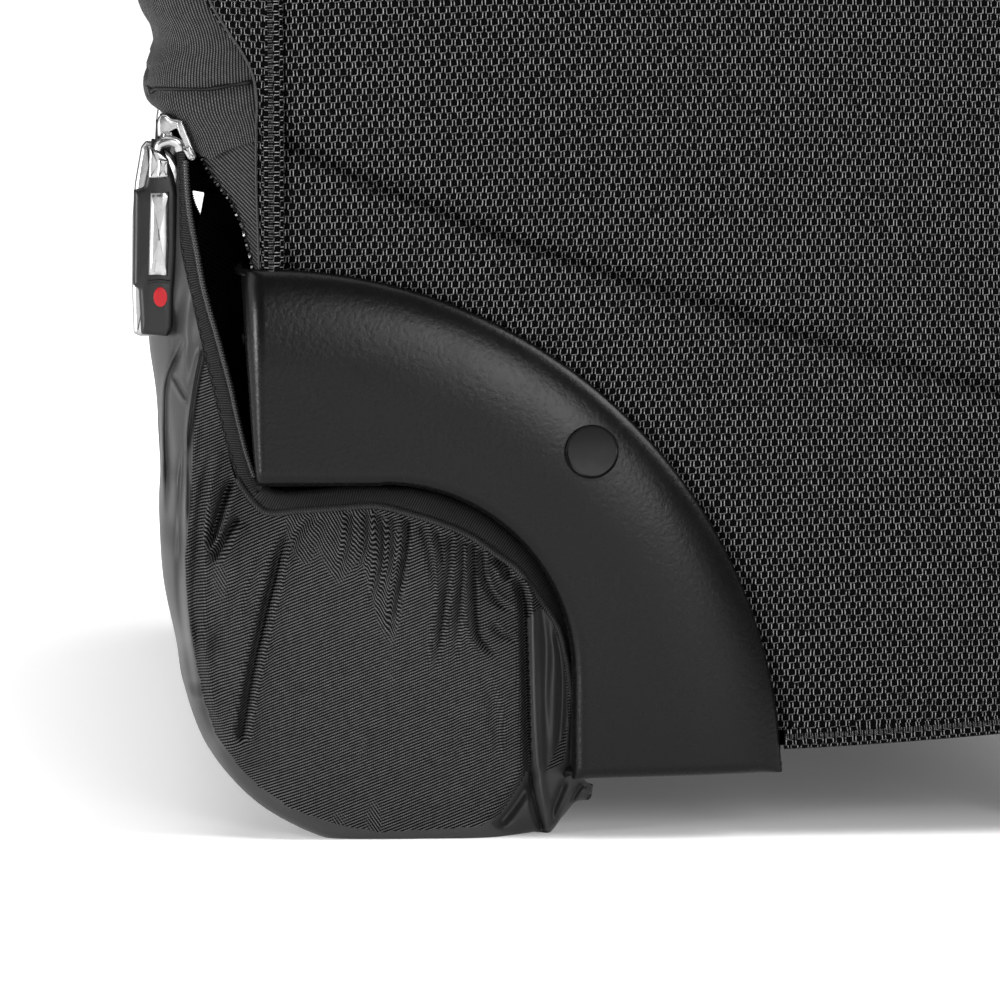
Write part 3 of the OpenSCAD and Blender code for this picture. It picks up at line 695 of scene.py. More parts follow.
# ---------------------------------------------------------------- side panels and piping
# the sewn crease across the side, (u, z)
CREASE = np.array([(-30, 152), (3.9, 143), (13, 139.2), (25.1, 133.9), (37.1, 129), (49.2, 124),
                   (61.2, 119.8), (73.3, 115.7), (90.6, 110.2), (104.7, 105.7), (118.8, 101.2),
                   (132.7, 96.9), (146.7, 93.1), (162, 89.5), (180, 86.5)])


def z_seam(u):
    """Centre height of the piping along the lower edge; it climbs a little towards the front."""
    return 20.1 + 2.9 * (np.clip(u - 104, 0, None) / 46) ** 1.35


def panel_x(u, z):
    """How far out the side fabric stands."""
    zc = np.interp(u, CREASE[:, 0], CREASE[:, 1])
    s = (z - zc) * 0.93
    wave = 0.35 * np.sin(u / 23.0 + 0.6) * np.sin(z / 31.0) + 0.2 * np.sin(u / 9.0 + z / 14.0)
    fill = np.clip((z - z_seam(u)) / 22, 0, 1) * np.clip((u - 3.9) / 16, 0, 1) * np.clip((368 - z) / 16, 0,
            1) * np.clip((178 - u) / 16, 0, 1)
    fill = np.sqrt(np.clip(fill, 0, 1))
    groove = 2.4 * np.exp(-(s / 1.5) ** 2) + 0.5 * np.exp(-((s - 1) / 5.0) ** 2)
    seam = 0.9 * np.exp(-((u - 4.6) / 1.3) ** 2)
    out = 214.3 + (1.5 + wave) * fill + 1.3 * np.exp(-((s + 6.5) / 6.0) ** 2) * fill + 1.0 * np.exp(-((s - 8)
            / 7.0) ** 2) * fill
    tuck = 2.1 * np.exp(-(np.clip(np.hypot(u, z - GUARD_Z) - 105, 0, None) / 4.5) ** 2)
    return -(out - groove - seam - tuck)


CREASE = spline(CREASE, 200)
us = np.r_[np.linspace(4.1, 12, 20)[:-1], np.linspace(12, 178, 132)]
low = np.maximum(z_seam(us) + 1.6, np.where(us < 98, GUARD_Z + np.sqrt(np.maximum(98.0**2 - us**2, 0)), 0))
rise = np.r_[np.linspace(0, 1, 300)[:-1], np.linspace(1, 2, 70)]
UU = np.repeat(us[:, None], len(rise), 1)
ZZ = np.where(rise[None] < 1, low[:, None] + (182 - low[:, None]) * rise[None],
              182 + (366.5 - 182) * (rise[None] - 1))
PX = panel_x(UU, ZZ)
warp = 1.3 * np.sin(UU / 37.0 + ZZ / 61.0) + 0.8 * np.sin(ZZ / 24.0 - UU / 50.0)
side_uv = np.stack([UU + warp, ZZ + 0.5 * warp], -1)
side_l = grid("side_fabric_left", np.stack([PX, BACK_Y - UU, ZZ], -1), M_SIDE, uv=side_uv)
thicken(side_l, 3.0, inner=M_LINING)
place(side_l, "case", "ballistic_nylon", "side_panel_left", "side_panel_right")
side_r = mirrored(side_l, "side_fabric_right")
place(side_r, "case", "ballistic_nylon")

# piping in woven fabric, up the rear edge and along the lower one
pipe = []
for z in np.linspace(112, 364, 90):
    pipe.append((-212.9 - 0.25 * math.sin(z / 17.0), 101.25 + 0.2 * math.sin(z / 29.0), z))
for a in np.radians(np.linspace(15, 90, 6)):
    pipe.append((-212.9 + 3 * (1 - math.cos(a)), 101.25 - 4 * (1 - math.cos(a)), 364 + 3.0 * math.sin(a)))
rear_pipe = sweep("piping_rear", pipe, ring(2.35, 14), M_SIDE, up=(-1, 0, 0))
ys = np.linspace(-3.7, -76.5, 60)
low_pipe = sweep("piping_low", [(-213.2, y, float(z_seam(BACK_Y - y))) for y in ys], ring(2.35, 14), M_SIDE,
                 up=(-1, 0, 0))
pipes_l = join("piping_left", [rear_pipe, low_pipe])
place(pipes_l, "case", "ballistic_nylon", "edge_piping")
place(mirrored(pipes_l, "piping_right"), "case", "ballistic_nylon")

# ---------------------------------------------------------------- wheel cover
# Outline of one end, (u, z) as the main view shows it on the side face: the seam under the zip tape and
# the outer edge, in pairs along the sheet.
SEAM = [(-17.2, 141.9), (-16.8, 129.9), (-16.4, 121.2), (-14.8, 112.7), (-12.3, 100.8), (-10.2, 92.3),
        (-8.2, 84.5), (-5.4, 73.5), (-0.6, 67.9), (7.2, 67.7), (16.4, 68.3), (23.5, 68.4), (29.6, 67),
        (36.2, 64.9), (41.7, 62.4), (47.8, 58.3), (51.9, 55.2), (55, 51.1), (57.4, 47.6), (60.1, 43.1),
        (61.5, 37.9), (62.5, 31.7), (63, 24.9), (62.8, 18.6), (64, 13)]
RIM = [(-18.2, 141.9), (-19.9, 131.4), (-21.7, 121.2), (-23, 111), (-23.4, 102.5), (-22, 91.7),
       (-21.3, 78), (-21.5, 66.2), (-20.6, 53.5), (-18.2, 41.8), (-16.6, 32.5), (-12.5, 21),
       (-5.2, 11.3), (4, 4.4), (14.2, 0.2), (27.1, -0.6), (38.2, -0.5), (46.4, -0.1), (50.5, 0.5),
       (54.8, 1.7), (58.1, 1.5), (60.7, 4.7), (63.4, 7.8), (66.5, 8.6), (67.1, 11.1)]
NS, NT = 430, 190


def to_line(u, z, pts):
    """Distance to a line of points, its signed side, and how far along it (0 to 1) the nearest point is."""
    pts = spline(np.asarray(pts, float), max(10, 5 * len(pts)))
    best = np.full(u.shape, 1e9)
    side, along = np.zeros(u.shape), np.zeros(u.shape)
    for i in range(len(pts) - 1):
        (u0, z0), (u1, z1) = pts[i], pts[i + 1]
        du, dz = u1 - u0, z1 - z0
        k = np.clip(((u - u0) * du + (z - z0) * dz) / (du * du + dz * dz), 0, 1)
        off_u, off_z = u - u0 - k * du, z - z0 - k * dz
        d = np.hypot(off_u, off_z)
        near = d < best
        best = np.where(near, d, best)
        side = np.where(near, np.sign(dz * off_u - du * off_z), side)
        along = np.where(near, (i + k) / (len(pts) - 1), along)
    return best, side, along


def fade(a, lo, hi):
    """1 along the middle of a line, falling to 0 over lo at its start and hi at its end."""
    f = np.ones_like(a)
    if lo:
        f *= np.clip(a / lo, 0, 1)
    if hi:
        f *= np.clip((1 - a) / hi, 0, 1)
    return f * f * (3 - 2 * f)


# Broad shape: (u, z, how far proud of the plane X = -216), all in millimetres.
BROAD = [(17.3, 39.3, 0.8), (27.6, 49.6, 0.2), (7.1, 39.4, 0.6), (37.8, 39.3, 0.2), (41.9, 16.6, -0.6),
         (17.3, 12.6, 0.2), (7.2, 53.8, -0.6), (17.4, 59.9, -1.4), (35.7, 57.7, -1.6),
         (-0.6, 67.9, -6.5), (7.2, 67.7, -4.6), (19.4, 68.5, -4.2), (29.6, 67, -4.2), (41.7, 62.4, -4.2),
         (51.9, 55.2, -4.4), (60.1, 43.1, -5.2), (63, 24.9, -5.6), (64, 13, -7), (57.2, 33, -3.6),
         (57.8, 20.6, -3.8), (52.1, 28.9, -1.4), (49, 41.3, -2.2), (48, 10.4, -2.6), (35.7, 8.4, -1),
         (26.5, 5.3, -1), (7.1, 12.7, -0.5), (4, 4.8, -2.5), (14.2, 0.7, -2.6), (27.1, -0.2, -2.6),
         (38.2, -0.1, -3), (46.4, 0.5, -4), (-0.7, 20.9, -0.8), (0, 45.6, -0.8), (-6.7, 41.5, -0.6),
         (-8.7, 53.8, -2.2), (-5.9, 65.1, -5.5), (-8.8, 29.2, -0.8), (-11.8, 41.5, -2.4),
         (-12, 57.9, -4.2), (-11.3, 70.2, -5.5), (-10.1, 79.4, -6.5), (-14.1, 49.7, -5.2),
         (-15.2, 66.1, -7.2), (-15.2, 80.4, -8), (-16.1, 41.5, -6.2), (-13.9, 29.2, -4.2),
         (-8.9, 19.3, -3.2), (-18.5, 58, -10), (-18.9, 74.3, -11), (-20.7, 66.2, -15),
         (-20.2, 52.8, -15), (-17.8, 41.6, -13), (-16.2, 32.5, -12), (-12.1, 21.4, -10),
         (-4.8, 11.7, -8), (-16.8, 141.9, -7), (-16.2, 131.4, -6.6), (-15.4, 121.2, -6.6),
         (-14.2, 111, -6.8), (-12.3, 100.8, -7), (-10.3, 90.6, -7), (-7.8, 80.4, -7), (-5.4, 71.8, -7),
         (-18.2, 141.9, -9), (-19.9, 131.4, -12), (-21.7, 121.2, -15), (-23, 111, -17),
         (-23.4, 102.5, -18), (-22, 91.7, -17), (-21.3, 78, -16), (-17.1, 111, -8.5),
         (-15.9, 100.8, -8.5), (-15.1, 90.6, -8.2), (-18.8, 100.9, -12), (-18.2, 86.6, -11.5),
         (56.2, 8.3, -6), (59.5, 10.3, -6.5), (63.4, 10.3, -8), (57.2, 3.1, -9), (52.1, 2.1, -8)]


def broad_height(u, z):
    """Smooth surface through the scattered heights of BROAD: soft cones on a sloping plane."""
    tip, ease, span = 2.857, 0.061, 100.0

    def cone(square):
        return np.sqrt(square + tip**2)

    c = np.array(BROAD, float)
    n = len(c)
    A = cone((c[:, None, 0] - c[None, :, 0]) ** 2 + (c[:, None, 1] - c[None, :, 1]) ** 2)
    Q = np.c_[np.ones(n), c[:, :2] / span]
    M = np.block([[A + np.eye(n) * ease, Q], [Q.T, np.zeros((3, 3))]])
    w = np.linalg.solve(M, np.r_[c[:, 2], 0, 0, 0])
    out = w[n] + (w[n + 1] * u + w[n + 2] * z) / span
    for i in range(n):
        out = out + w[i] * cone((u - c[i, 0]) ** 2 + (z - c[i, 1]) ** 2)
    return out


# Folds: points, depth (+ is a valley), half width, height of the ridge beside it, the ridge's side (1 right
# of the line, -1 left), its offset, and the shares of the length over which each end fades.
FOLDS = [
    # main crease at the disc's left edge
    ([(7, 66.5), (3.9, 61.6), (1.4, 52.8), (-0.6, 44.8), (-2.7, 35.5), (-4.3, 26.1), (-5.2, 20.5)],
     3.6, 0.86, 1.1, -1, 1.8, 0.25, 0.04),
    # slits under the tape at the left
    ([(-6.6, 75.5), (-8.3, 71), (-9.9, 65.5), (-12, 58.7)], 4.4, 0.92, 0.9, -1, 1.8, 0.2, 0.3),
    ([(-5, 66.9), (-6.9, 64.7), (-8.7, 61.2), (-11.6, 56.7)], 3.6, 0.82, 1, -1, 1.6, 0.15, 0.3),
    # long folds of the left band
    ([(-12, 101.9), (-13.7, 93.7), (-14.7, 86.6), (-15.2, 78.4), (-15.4, 69.2), (-15.6, 62)],
     0.9, 0.61, 1.5, 1, 0.8, 0.1, 0.2),
    ([(-15.9, 103.9), (-17.1, 100.4), (-19.2, 95.8), (-20, 86.6), (-19.9, 76.4), (-19.7, 66.1)],
     1, 0.53, 1, 1, 0.8, 0.1, 0.3),
    ([(-18.8, 96.4), (-17.2, 93.5), (-15.1, 89.8)], 0.5, 0.53, 0.5, 1, 0.8, 0.2, 0.3),
    ([(-10.3, 82.5), (-13, 70.2), (-13.8, 57.9), (-14.1, 47.7), (-13.7, 37.4), (-12.1, 28.2),
      (-8.9, 19.9), (-4.4, 13.7)], 1.6, 0.92, 1, -1, 1.6, 0.15, 0.3),
    ([(-13.9, 90.6), (-16.6, 76.4), (-17.3, 62), (-17.3, 49.8), (-15.7, 38.5), (-14.1, 30.2), (-11.3, 23)],
     1.5, 0.82, 1.1, -1, 1.4, 0.15, 0.3),
    ([(-8.8, 50.5), (-10, 39.5), (-8.8, 29.2)], 0.5, 0.92, 0.3, 1, 1.6, 0.4, 0.4),
    ([(-2.2, 62), (-5.5, 51.8), (-7.6, 39.5)], 0.6, 1.22, 0.3, -1, 1.8, 0.4, 0.5),
    ([(2.3, 64.4), (-1.4, 55.8), (-3.9, 45.6)], 0.5, 1.02, 0.3, -1, 1.6, 0.4, 0.5),
    # pleats below the seam
    ([(11.1, 67.3), (8, 64), (5.5, 58.7), (4.3, 51.7)], 0.9, 0.82, 0.4, 1, 1.4, 0.1, 0.6),
    ([(13.3, 67.3), (11.3, 60.9), (10.4, 51.7)], 0.35, 1.02, 0.2, 1, 1.6, 0.2, 0.6),
    ([(17.6, 67.7), (17, 60.9), (14.9, 52.7)], 0.9, 0.69, 0.4, 1, 1.2, 0.05, 0.7),
    ([(20.9, 68), (20.6, 60.7), (17.8, 51.7)], 1, 0.61, 0.5, -1, 1.2, 0.05, 0.7),
    ([(22.9, 67.6), (23.7, 61.9), (22.7, 52.7), (21, 44.5)], 1.1, 0.61, 0.5, 1, 1.2, 0.05, 0.7),
    ([(26, 67), (25.7, 57.8), (24.3, 49.6)], 0.8, 0.57, 0.4, 1, 1, 0.05, 0.7),
    ([(29, 66.4), (28.6, 60.8), (27.6, 54.7), (26.5, 48.8), (26.1, 39.3)], 2, 0.61, 0.7, 1, 1.2, 0.03, 0.7),
    ([(31.7, 65.6), (33.3, 59.8), (34.5, 51.6), (34.3, 41.3)], 1, 0.65, 0.5, -1, 1.2, 0.05, 0.7),
    ([(34.5, 64.7), (35.7, 57.7), (35.9, 49.5), (34.9, 39.3), (33.3, 31.1)],
     1.3, 0.61, 0.5, 1, 1.2, 0.05, 0.6),
    ([(37.8, 63.5), (37, 54.3), (35.5, 42.4), (33.7, 34.1)], 1.3, 0.61, 0.6, -1, 1.2, 0.05, 0.6),
    ([(40.2, 62.2), (40, 54.2), (39, 45.4), (38.2, 33.1)], 1.4, 0.61, 0.6, -1, 1.2, 0.05, 0.6),
    ([(42.1, 61.4), (42.3, 48.7), (43.5, 41.3), (48.6, 36.7)], 2.2, 0.65, 0.9, 1, 1.4, 0.03, 0.3),
    ([(43.9, 60.2), (44.7, 53.6), (46.8, 49.5), (51.3, 47)], 1.8, 0.61, 0.8, -1, 1.2, 0.05, 0.3),
    ([(46.8, 58.5), (48.6, 56.5), (49.8, 53.2)], 2.6, 0.82, 0.6, 1, 1.4, 0.1, 0.3),
    ([(45.5, 45.4), (48, 42.5), (52.1, 41.3)], 1.2, 0.71, 0.6, -1, 1.2, 0.2, 0.3),
    ([(43.1, 37.2), (45.5, 31), (46.8, 22.8), (46.4, 12.5)], 0.7, 1.02, 0.5, -1, 1.8, 0.4, 0.4),
    ([(38.2, 31), (39.4, 20.7), (37.8, 10.4)], 0.4, 1.43, 0.2, -1, 2.4, 0.4, 0.4),
    # the hanging fold at the right
    ([(50.9, 54.8), (52.5, 50.3), (53.1, 41.2), (53.3, 31), (53.7, 20.7), (54.4, 12.4), (55.8, 5.2),
      (57.2, 0.8)], 4, 0.86, 2.4, -1, 1.7, 0.06, 0.06),
    ([(56.2, 49.5), (57.4, 41.2), (57.2, 28.9), (57.8, 16.5)], 0.8, 0.92, 0.3, -1, 1.6, 0.2, 0.4),
    ([(58.8, 45.3), (60.5, 37.1), (60.5, 24.8), (59.5, 14.5)], 1, 0.82, 0.8, -1, 1.6, 0.15, 0.3),
    ([(55, 15.3), (52.9, 10.4), (49.6, 5.8), (46.8, 2.5)], 3, 1.43, 0.8, 1, 2.4, 0.15, 0.15),
    ([(61.5, 13.2), (60.3, 9.9), (58.7, 5.8), (57.8, 2.1)], 1.4, 0.82, 0.8, -1, 1.6, 0.2, 0.2),
    ([(65.2, 11.9), (63.6, 9.9), (62.4, 7.8)], 1.2, 0.61, 0.6, -1, 1, 0.2, 0.2),
    # soft dents of the left, back-facing part
    ([(-15.8, 117.1), (-17.9, 104.9), (-17.6, 90.7)], 1, 1.02, 0.6, -1, 1.8, 0.4, 0.4),
    ([(-19.6, 90.7), (-19.3, 76.4), (-19.7, 62.1)], 0.9, 0.82, 0.5, 1, 1.4, 0.4, 0.4),
]


def cover_height(u, z):
    """How far the cover stands proud of X = -216, folds included."""
    reach = 8.2
    h = broad_height(u, z)
    for pts, depth, width, ridge, side, off, lo, hi in FOLDS:
        pts = np.asarray(pts, float)
        lo_u, lo_z = pts.min(0) - reach
        hi_u, hi_z = pts.max(0) + reach
        box = (u > lo_u) & (u < hi_u) & (z > lo_z) & (z < hi_z)
        d, s, a = to_line(u[box], z[box], pts)
        f = fade(a, lo, hi)
        h[box] -= depth * f * np.exp(-((d / width) ** 2))
        h[box] += ridge * f * np.exp(-(((d * s - side * off) / (0.6 * off)) ** 2))
    return h


def cover_end():
    """Points of one end, from the seam (first column) to the outer edge (last)."""
    seam, rim = np.array(SEAM, float), np.array(RIM, float)
    mid = 0.5 * (seam + rim)
    run = np.linalg.norm(np.diff(mid, axis=0), axis=1) + 0.5 * np.linalg.norm(np.diff(seam, axis=0), axis=1)
    k = np.r_[0, np.cumsum(run)]
    q = np.linspace(0, k[-1], NS)
    A, B = curve_at(k, seam, q), curve_at(k, rim, q)
    t = np.linspace(0, 1, NT)
    t = np.where(t < 0.8, t * 1.045, 0.836 + 0.164 * np.sin((t - 0.8) / 0.2 * math.pi / 2))
    u = A[:, None, 0] + (B - A)[:, None, 0] * t[None]
    z = A[:, None, 1] + (B - A)[:, None, 1] * t[None]
    h = cover_height(u, z)
    # rounding of the outer edge
    d, _, _ = to_line(u, z, RIM)
    R = 3.2 + 3.6 * np.clip((z - 8.8) / 18.4, 0, 1)
    h -= edge_drop(d, R, R)
    across = np.sin(u / 1.84 + 4.3 + 2 * np.sin(2.06 - z / 6.33))
    upwards = np.sin(2.02 - z / 2.65 + 1.5 * np.sin(u / 5.51 + 3.53))
    h += 0.10 * across * upwards
    P = at(u, z, -216.0 - h)
    # the first column tucks in behind the tape
    P[:, 0, 0] += 1.2
    return P, u, z, h


P_end, end_u, end_z, end_h = cover_end()
# cloth coordinates: the place on the side face, stretched a little where the cloth slopes
run = np.hypot(np.gradient(end_u, axis=0), np.gradient(end_z, axis=0))
slope = np.gradient(end_h, axis=0) / np.maximum(run, 0.2)
cloth_u = end_u + 54.1 + 0.12 * (end_h - end_h.mean()) * np.tanh(slope)
cloth_v = end_z - 172.0 + 0.14 * end_h
cover_uv = np.stack([cloth_u + 0.35 * np.sin(cloth_v / 9.0), cloth_v], -1)

# the trough between the two ends, (y, z) as in the CAD part, from the zip round under the wheels
TROUGH = [(119.6, 143.2), (121.0, 130), (121.6, 118), (122.4, 104), (123.4, 92), (123.9, 80), (123.0, 68),
          (120.8, 55), (116.8, 38), (112.2, 24.5), (105.0, 13), (95.0, 4.2), (84.5, 0.9), (74.0, 1.0),
          (65.5, 4.0), (58.0, 7.6), (53.0, 11.0)]
edge = P_end[:, -1]
trough = spline(np.array(TROUGH), 400)
edge_u = lengths(edge)
edge_u /= edge_u[-1]
tr = np.stack([np.interp(edge_u, np.linspace(0, 1, 400), trough[:, k]) for k in (0, 1)], -1)
NX = 80
xs = edge[:, :1] * (1 - np.linspace(0, 1, NX)[None, 1:] ** 0.9)
blend = 1 - np.clip(np.abs(xs) / 200, 0, 1) ** 6
uu = edge_u[:, None] * np.ones_like(xs)
Y = edge[:, 1:2] * (1 - blend) + tr[:, :1] * blend
Z = edge[:, 2:3] * (1 - blend) + tr[:, 1:2] * blend
nrm = np.stack([np.gradient(tr[:, 1]), -np.gradient(tr[:, 0])], -1)
nrm /= np.linalg.norm(nrm, axis=1)[:, None]
ax = np.abs(xs)
wr = (0.9 * np.sin(xs / 13.0 + 4 * np.sin(uu * 5.0)) * np.sin(uu * 9.0 + 0.5)
      + 0.7 * np.sin(xs / 7.3 + 3.0 * uu + 1.0) * np.clip(1 - np.abs(uu - 0.08) / 0.12, 0, 1)
      + 0.9 * np.cos(uu * 44.0 + 1.2 * np.sin(xs / 37.0)) * np.clip(1 - np.abs(uu - 0.45) / 0.3, 0, 1)
      + 0.6 * np.cos(xs / 5.1 + 1.1 * np.sin(xs / 19.0)) * np.clip((uu - 0.86) / 0.12, 0, 1))
wr = wr * np.clip((206 - ax) / 24, 0, 1)
sag = -1.6 * np.clip(1 - (ax / 206) ** 2, 0, 1) * np.exp(-((uu - 0.30) / 0.16) ** 2)
Y = Y - nrm[:, :1] * (wr - sag) * (uu > 0.02)
Z = np.maximum(Z - nrm[:, 1:2] * (wr - sag) * (uu > 0.02), 0.1)
half = np.concatenate([P_end, np.stack([xs, Y, Z], -1)], 1)
ext = cover_uv[:, -1:] + ((xs - edge[:, :1]) * 0.7)[..., None]
half_uv = np.concatenate([cover_uv, ext], 1)
other = half[:, ::-1][:, 1:].copy()
other[..., 0] *= -1
full = np.concatenate([half, other], 1)
full_uv = np.concatenate([half_uv, half_uv[:, ::-1][:, 1:]], 1)
full[..., 2] = np.maximum(full[..., 2], -0.45)


def far_gape(P):
    """On the +X side the unzipped edge stands a little further back, so the pocket is open there."""
    P = np.array(P)
    w = np.exp(-((P[..., 2] - 112) / 10) ** 2) * np.clip((P[..., 0] - 120) / 70, 0, 1)
    w = w * np.clip((123 - P[..., 1]) / 4.5, 0, 1)
    P[..., 1] += 3.3 * w
    return P


full = far_gape(full)
cover = grid("wheel_cover_cloth", full, M_TWILL, uv=full_uv, smooth=180)
# (u, z) outline of the end panel that shows the twill; the band that turns to the back, the rim and the hem
# look smooth
FACE = [(-13.3, 93.9), (-13.9, 90.6), (-14.6, 81.1), (-15, 70.2), (-16.3, 57.9), (-15.7, 47.7),
        (-14.1, 37.2), (-12.5, 29.2), (-10.1, 22), (-6, 16.4), (-1.5, 11.5), (5, 6.9), (13.2, 3.8),
        (23.4, 1.8), (35.7, 2.4), (43.9, 3), (48, 5.2), (51.9, 11.4), (54.4, 16.1), (54.3, 28.9),
        (53.5, 45.4), (56.2, 48.2), (58.6, 44.9), (60.7, 39.2), (61.7, 30.9), (61.9, 22.7), (61.1, 16.1),
        (57.2, 14.1), (64.4, 28.9), (64.8, 49.4), (60.3, 70), (31.7, 74.2), (7.2, 74.2), (-0.5, 70.2),
        (-5.4, 76.3), (-9.8, 94.7), (-11.8, 99.8)]


def inside(u, z, poly):
    """Whether points lie inside a closed outline."""
    r = np.zeros(u.shape, bool)
    for (u0, z0), (u1, z1) in zip(poly, poly[1:] + poly[:1]):
        if z0 != z1:
            r ^= ((z0 > z) != (z1 > z)) & (u < (u1 - u0) * (z - z0) / (z1 - z0) + u0)
    return r


cover.data.materials.append(M_SATIN)
smooth_face = np.ones((NS - 1, full.shape[1] - 1), int)
outside = ~inside(0.5 * (end_u[1:, 1:] + end_u[:-1, :-1]), 0.5 * (end_z[1:, 1:] + end_z[:-1, :-1]), FACE)
smooth_face[:, :NT - 1] = outside
smooth_face[:, -(NT - 1):] = outside[:, ::-1]
cover.data.polygons.foreach_set("material_index", smooth_face.ravel().astype(np.int32))
place(cover, "case", "twill_nylon", "wheel_cover")

# ---------------------------------------------------------------- the cover's zip: tape, coil and stitches
# Inner and outer edge of the tape, (u, z) as the main view shows them on the side face, in pairs.
TAPE_IN = [(-17.4, 141.5), (-17, 129.9), (-16.8, 121.2), (-15.1, 112.7), (-12.3, 100), (-10.7, 93.5),
           (-8.8, 85.3), (-7.2, 79.6), (-4.8, 73.3), (-0.6, 68.3), (7.2, 68.1), (16.4, 68.7),
           (23.5, 68.9), (29.6, 67.4), (36.2, 65.3), (41.7, 62.9), (47.8, 58.7), (51.9, 55.6),
           (55, 51.5), (57.4, 48), (60.1, 43.5), (61.5, 38.3), (62.5, 31.7), (63, 24.9), (63, 15.5)]
TAPE_OUT = [(-15.8, 141.5), (-15, 129.9), (-13.2, 120.6), (-12, 113.9), (-8.4, 101.2), (-6.4, 93.5),
            (-4.6, 85.3), (-3, 79.2), (-0.9, 74.1), (1.9, 72.4), (8.8, 72.2), (17.4, 73), (25.6, 72.9),
            (32.1, 72.3), (38.8, 70.4), (44.7, 67.8), (50.9, 63.4), (55.2, 59.1), (58.2, 54.8),
            (60.3, 50.5), (62.1, 45.7), (63.4, 40.2), (64, 31.7), (64.2, 24.9), (64.2, 15.5)]
n_t = 330
edges = np.stack([TAPE_IN, TAPE_OUT])
run = lengths(edges.sum(0))
along = np.linspace(0, run[-1], n_t)
tape_in, tape_out = curve_at(run, edges[0], along), curve_at(run, edges[1], along)
x_in = 216.0 + broad_height(tape_in[:, 0], tape_in[:, 1])
x_out = 210.3 - np.clip((tape_in[:, 0] + 6.7) / 6.1, 0, 1)
M_TAPE_RIB = twill("zip_tape_knit", angle=0, pitch=0.5, dark=0.006, light=0.032, sheen=0.0, depth=0.05)
# section of the tape: share of its width, and how far it stands out from the straight line between its edges
TAPE_SECTION = [(-0.10, -1.4), (0.0, 0.0), (0.03, 0.25), (0.07, 0.05), (0.10, 0.2), (0.3, 0.35), (0.5, 0.35),
                (0.7, 0.3), (0.82, 0.1), (0.9, -0.3), (1.0, -0.9), (1.02, -2.2)]


def on_tape(share, out=0.0):
    """The line along the tape at a share of its width, standing out a little."""
    p = tape_in + (tape_out - tape_in) * share
    return at(p[:, 0], p[:, 1], -(x_in * (1 - share) + x_out * share + out))


def nearest(line, u, z):
    """Index of the point of a (u, z) line that lies nearest to a place."""
    return int(np.argmin(np.hypot(line[:, 0] - u, line[:, 1] - z)))


cols, uvs = [], []
for share, out in TAPE_SECTION:
    cols.append(on_tape(share, out))
    uvs.append(np.stack([np.full(n_t, share * 5.0), along * 0.5], -1))
tape_o = grid("tape", np.stack(cols, 1), M_TAPE_RIB, uv=np.stack(uvs, 1), smooth=80)


def up_at(up, L, q):
    """The up direction, one or one per point of a path, at distances q along it."""
    up = np.asarray(up, float)
    return up if up.ndim == 1 else np.stack([np.interp(q, L, up[:, k]) for k in range(3)], 1)


def helix(name, path, up, r, pitch, tube, mat, squash=1.0, n_round=8):
    """A coil of the given radius wound along a path."""
    path = np.asarray(path, float)
    L = lengths(path)
    n = int(L[-1] / pitch * n_round)
    q = np.linspace(0, L[-1], n)
    c = np.stack([np.interp(q, L, path[:, k]) for k in range(3)], 1)
    t, a, b = frames(c, up_at(up, L, q))
    ang = q / pitch * 2 * math.pi
    h = c + r * (np.cos(ang)[:, None] * a + squash * np.sin(ang)[:, None] * b)
    return sweep(name, h, ring(tube, 5), mat, up=np.cos(ang)[:, None] * a + np.sin(ang)[:, None] * b,
                 caps=False)


# the coil is seen only above the guard's lower corner
coil_path = on_tape(0.86, 0.55)[4:nearest(tape_in + (tape_out - tape_in) * 0.86, -1.8, 74.7)]
coil = helix("coil", coil_path, (-1, 0, 0), 0.62, 0.60, 0.19, M_COIL)
cord_in = sweep("coil_cord", coil_path, ring(0.5, 8), M_COIL, up=(-1, 0, 0))


def stitches(name, path, length, gap, r, mat, up=(-1, 0, 0)):
    """Separate thread stitches, each a small capsule lying on a path."""
    path = np.asarray(path, float)
    L = lengths(path)
    V, F, base = [], [], 0
    for s0 in np.arange(0, L[-1] - length, length + gap):
        q = np.linspace(s0, s0 + length, 5)
        c = np.stack([np.interp(q, L, path[:, k]) for k in range(3)], 1)
        t, a, b = frames(c, up_at(up, L, q))
        k = np.array([0.25, 0.9, 1.0, 0.9, 0.25])[:, None, None] * r
        sec = ring(1.0, 6)
        lift = np.array([-0.3, 0.35, 0.55, 0.35, -0.3])[:, None] * r * a
        P = (c + lift)[:, None] + (sec[None, :, :1] * a[:, None] + sec[None, :, 1:] * b[:, None]) * k
        V.append(P.reshape(-1, 3))
        F += [[v + base for v in f] for f in grid_faces(5, 6, False, True)]
        F += [[base + v for v in range(6)], [base + 24 + v for v in range(6)][::-1]]
        base += 30
    return new_mesh(name, np.vstack(V), F, mat, None, 180)


M_STITCH = plastic("stitch_thread", base=0.022, rough=0.6, amount=0.0, spec=0.2)
M_STITCH_DARK = plastic("stitch_dark", base=0.004, rough=0.6, amount=0.0, spec=0.2)
tape_st = stitches("tape_stitches", on_tape(0.09, 0.12)[6:], 1.5, 0.9, 0.26, M_STITCH_DARK)
# the corded seam where the cloth meets the tape round the arch
cord_line = tape_in + (tape_out - tape_in) * -0.03
seam_path = at(cord_line[:, 0], cord_line[:, 1], -(x_in + 0.35))[nearest(tape_in, -5.4, 74.7):]
seam_cord = sweep("seam_cord", seam_path, ring(0.62, 10), M_THREAD, up=(-1, 0, 0))
zip_l = join("cover_tape_left", [tape_o, coil, cord_in, tape_st, seam_cord])
place(zip_l, "case", "tape", "cover_zip")
zip_r = mirrored(zip_l, "cover_tape_right")
co = np.empty(len(zip_r.data.vertices) * 3)
zip_r.data.vertices.foreach_get("co", co)
zip_r.data.vertices.foreach_set("co", (far_gape(co.reshape(-1, 3) * 1000) * 0.001).ravel())
place(zip_r, "case", "tape")

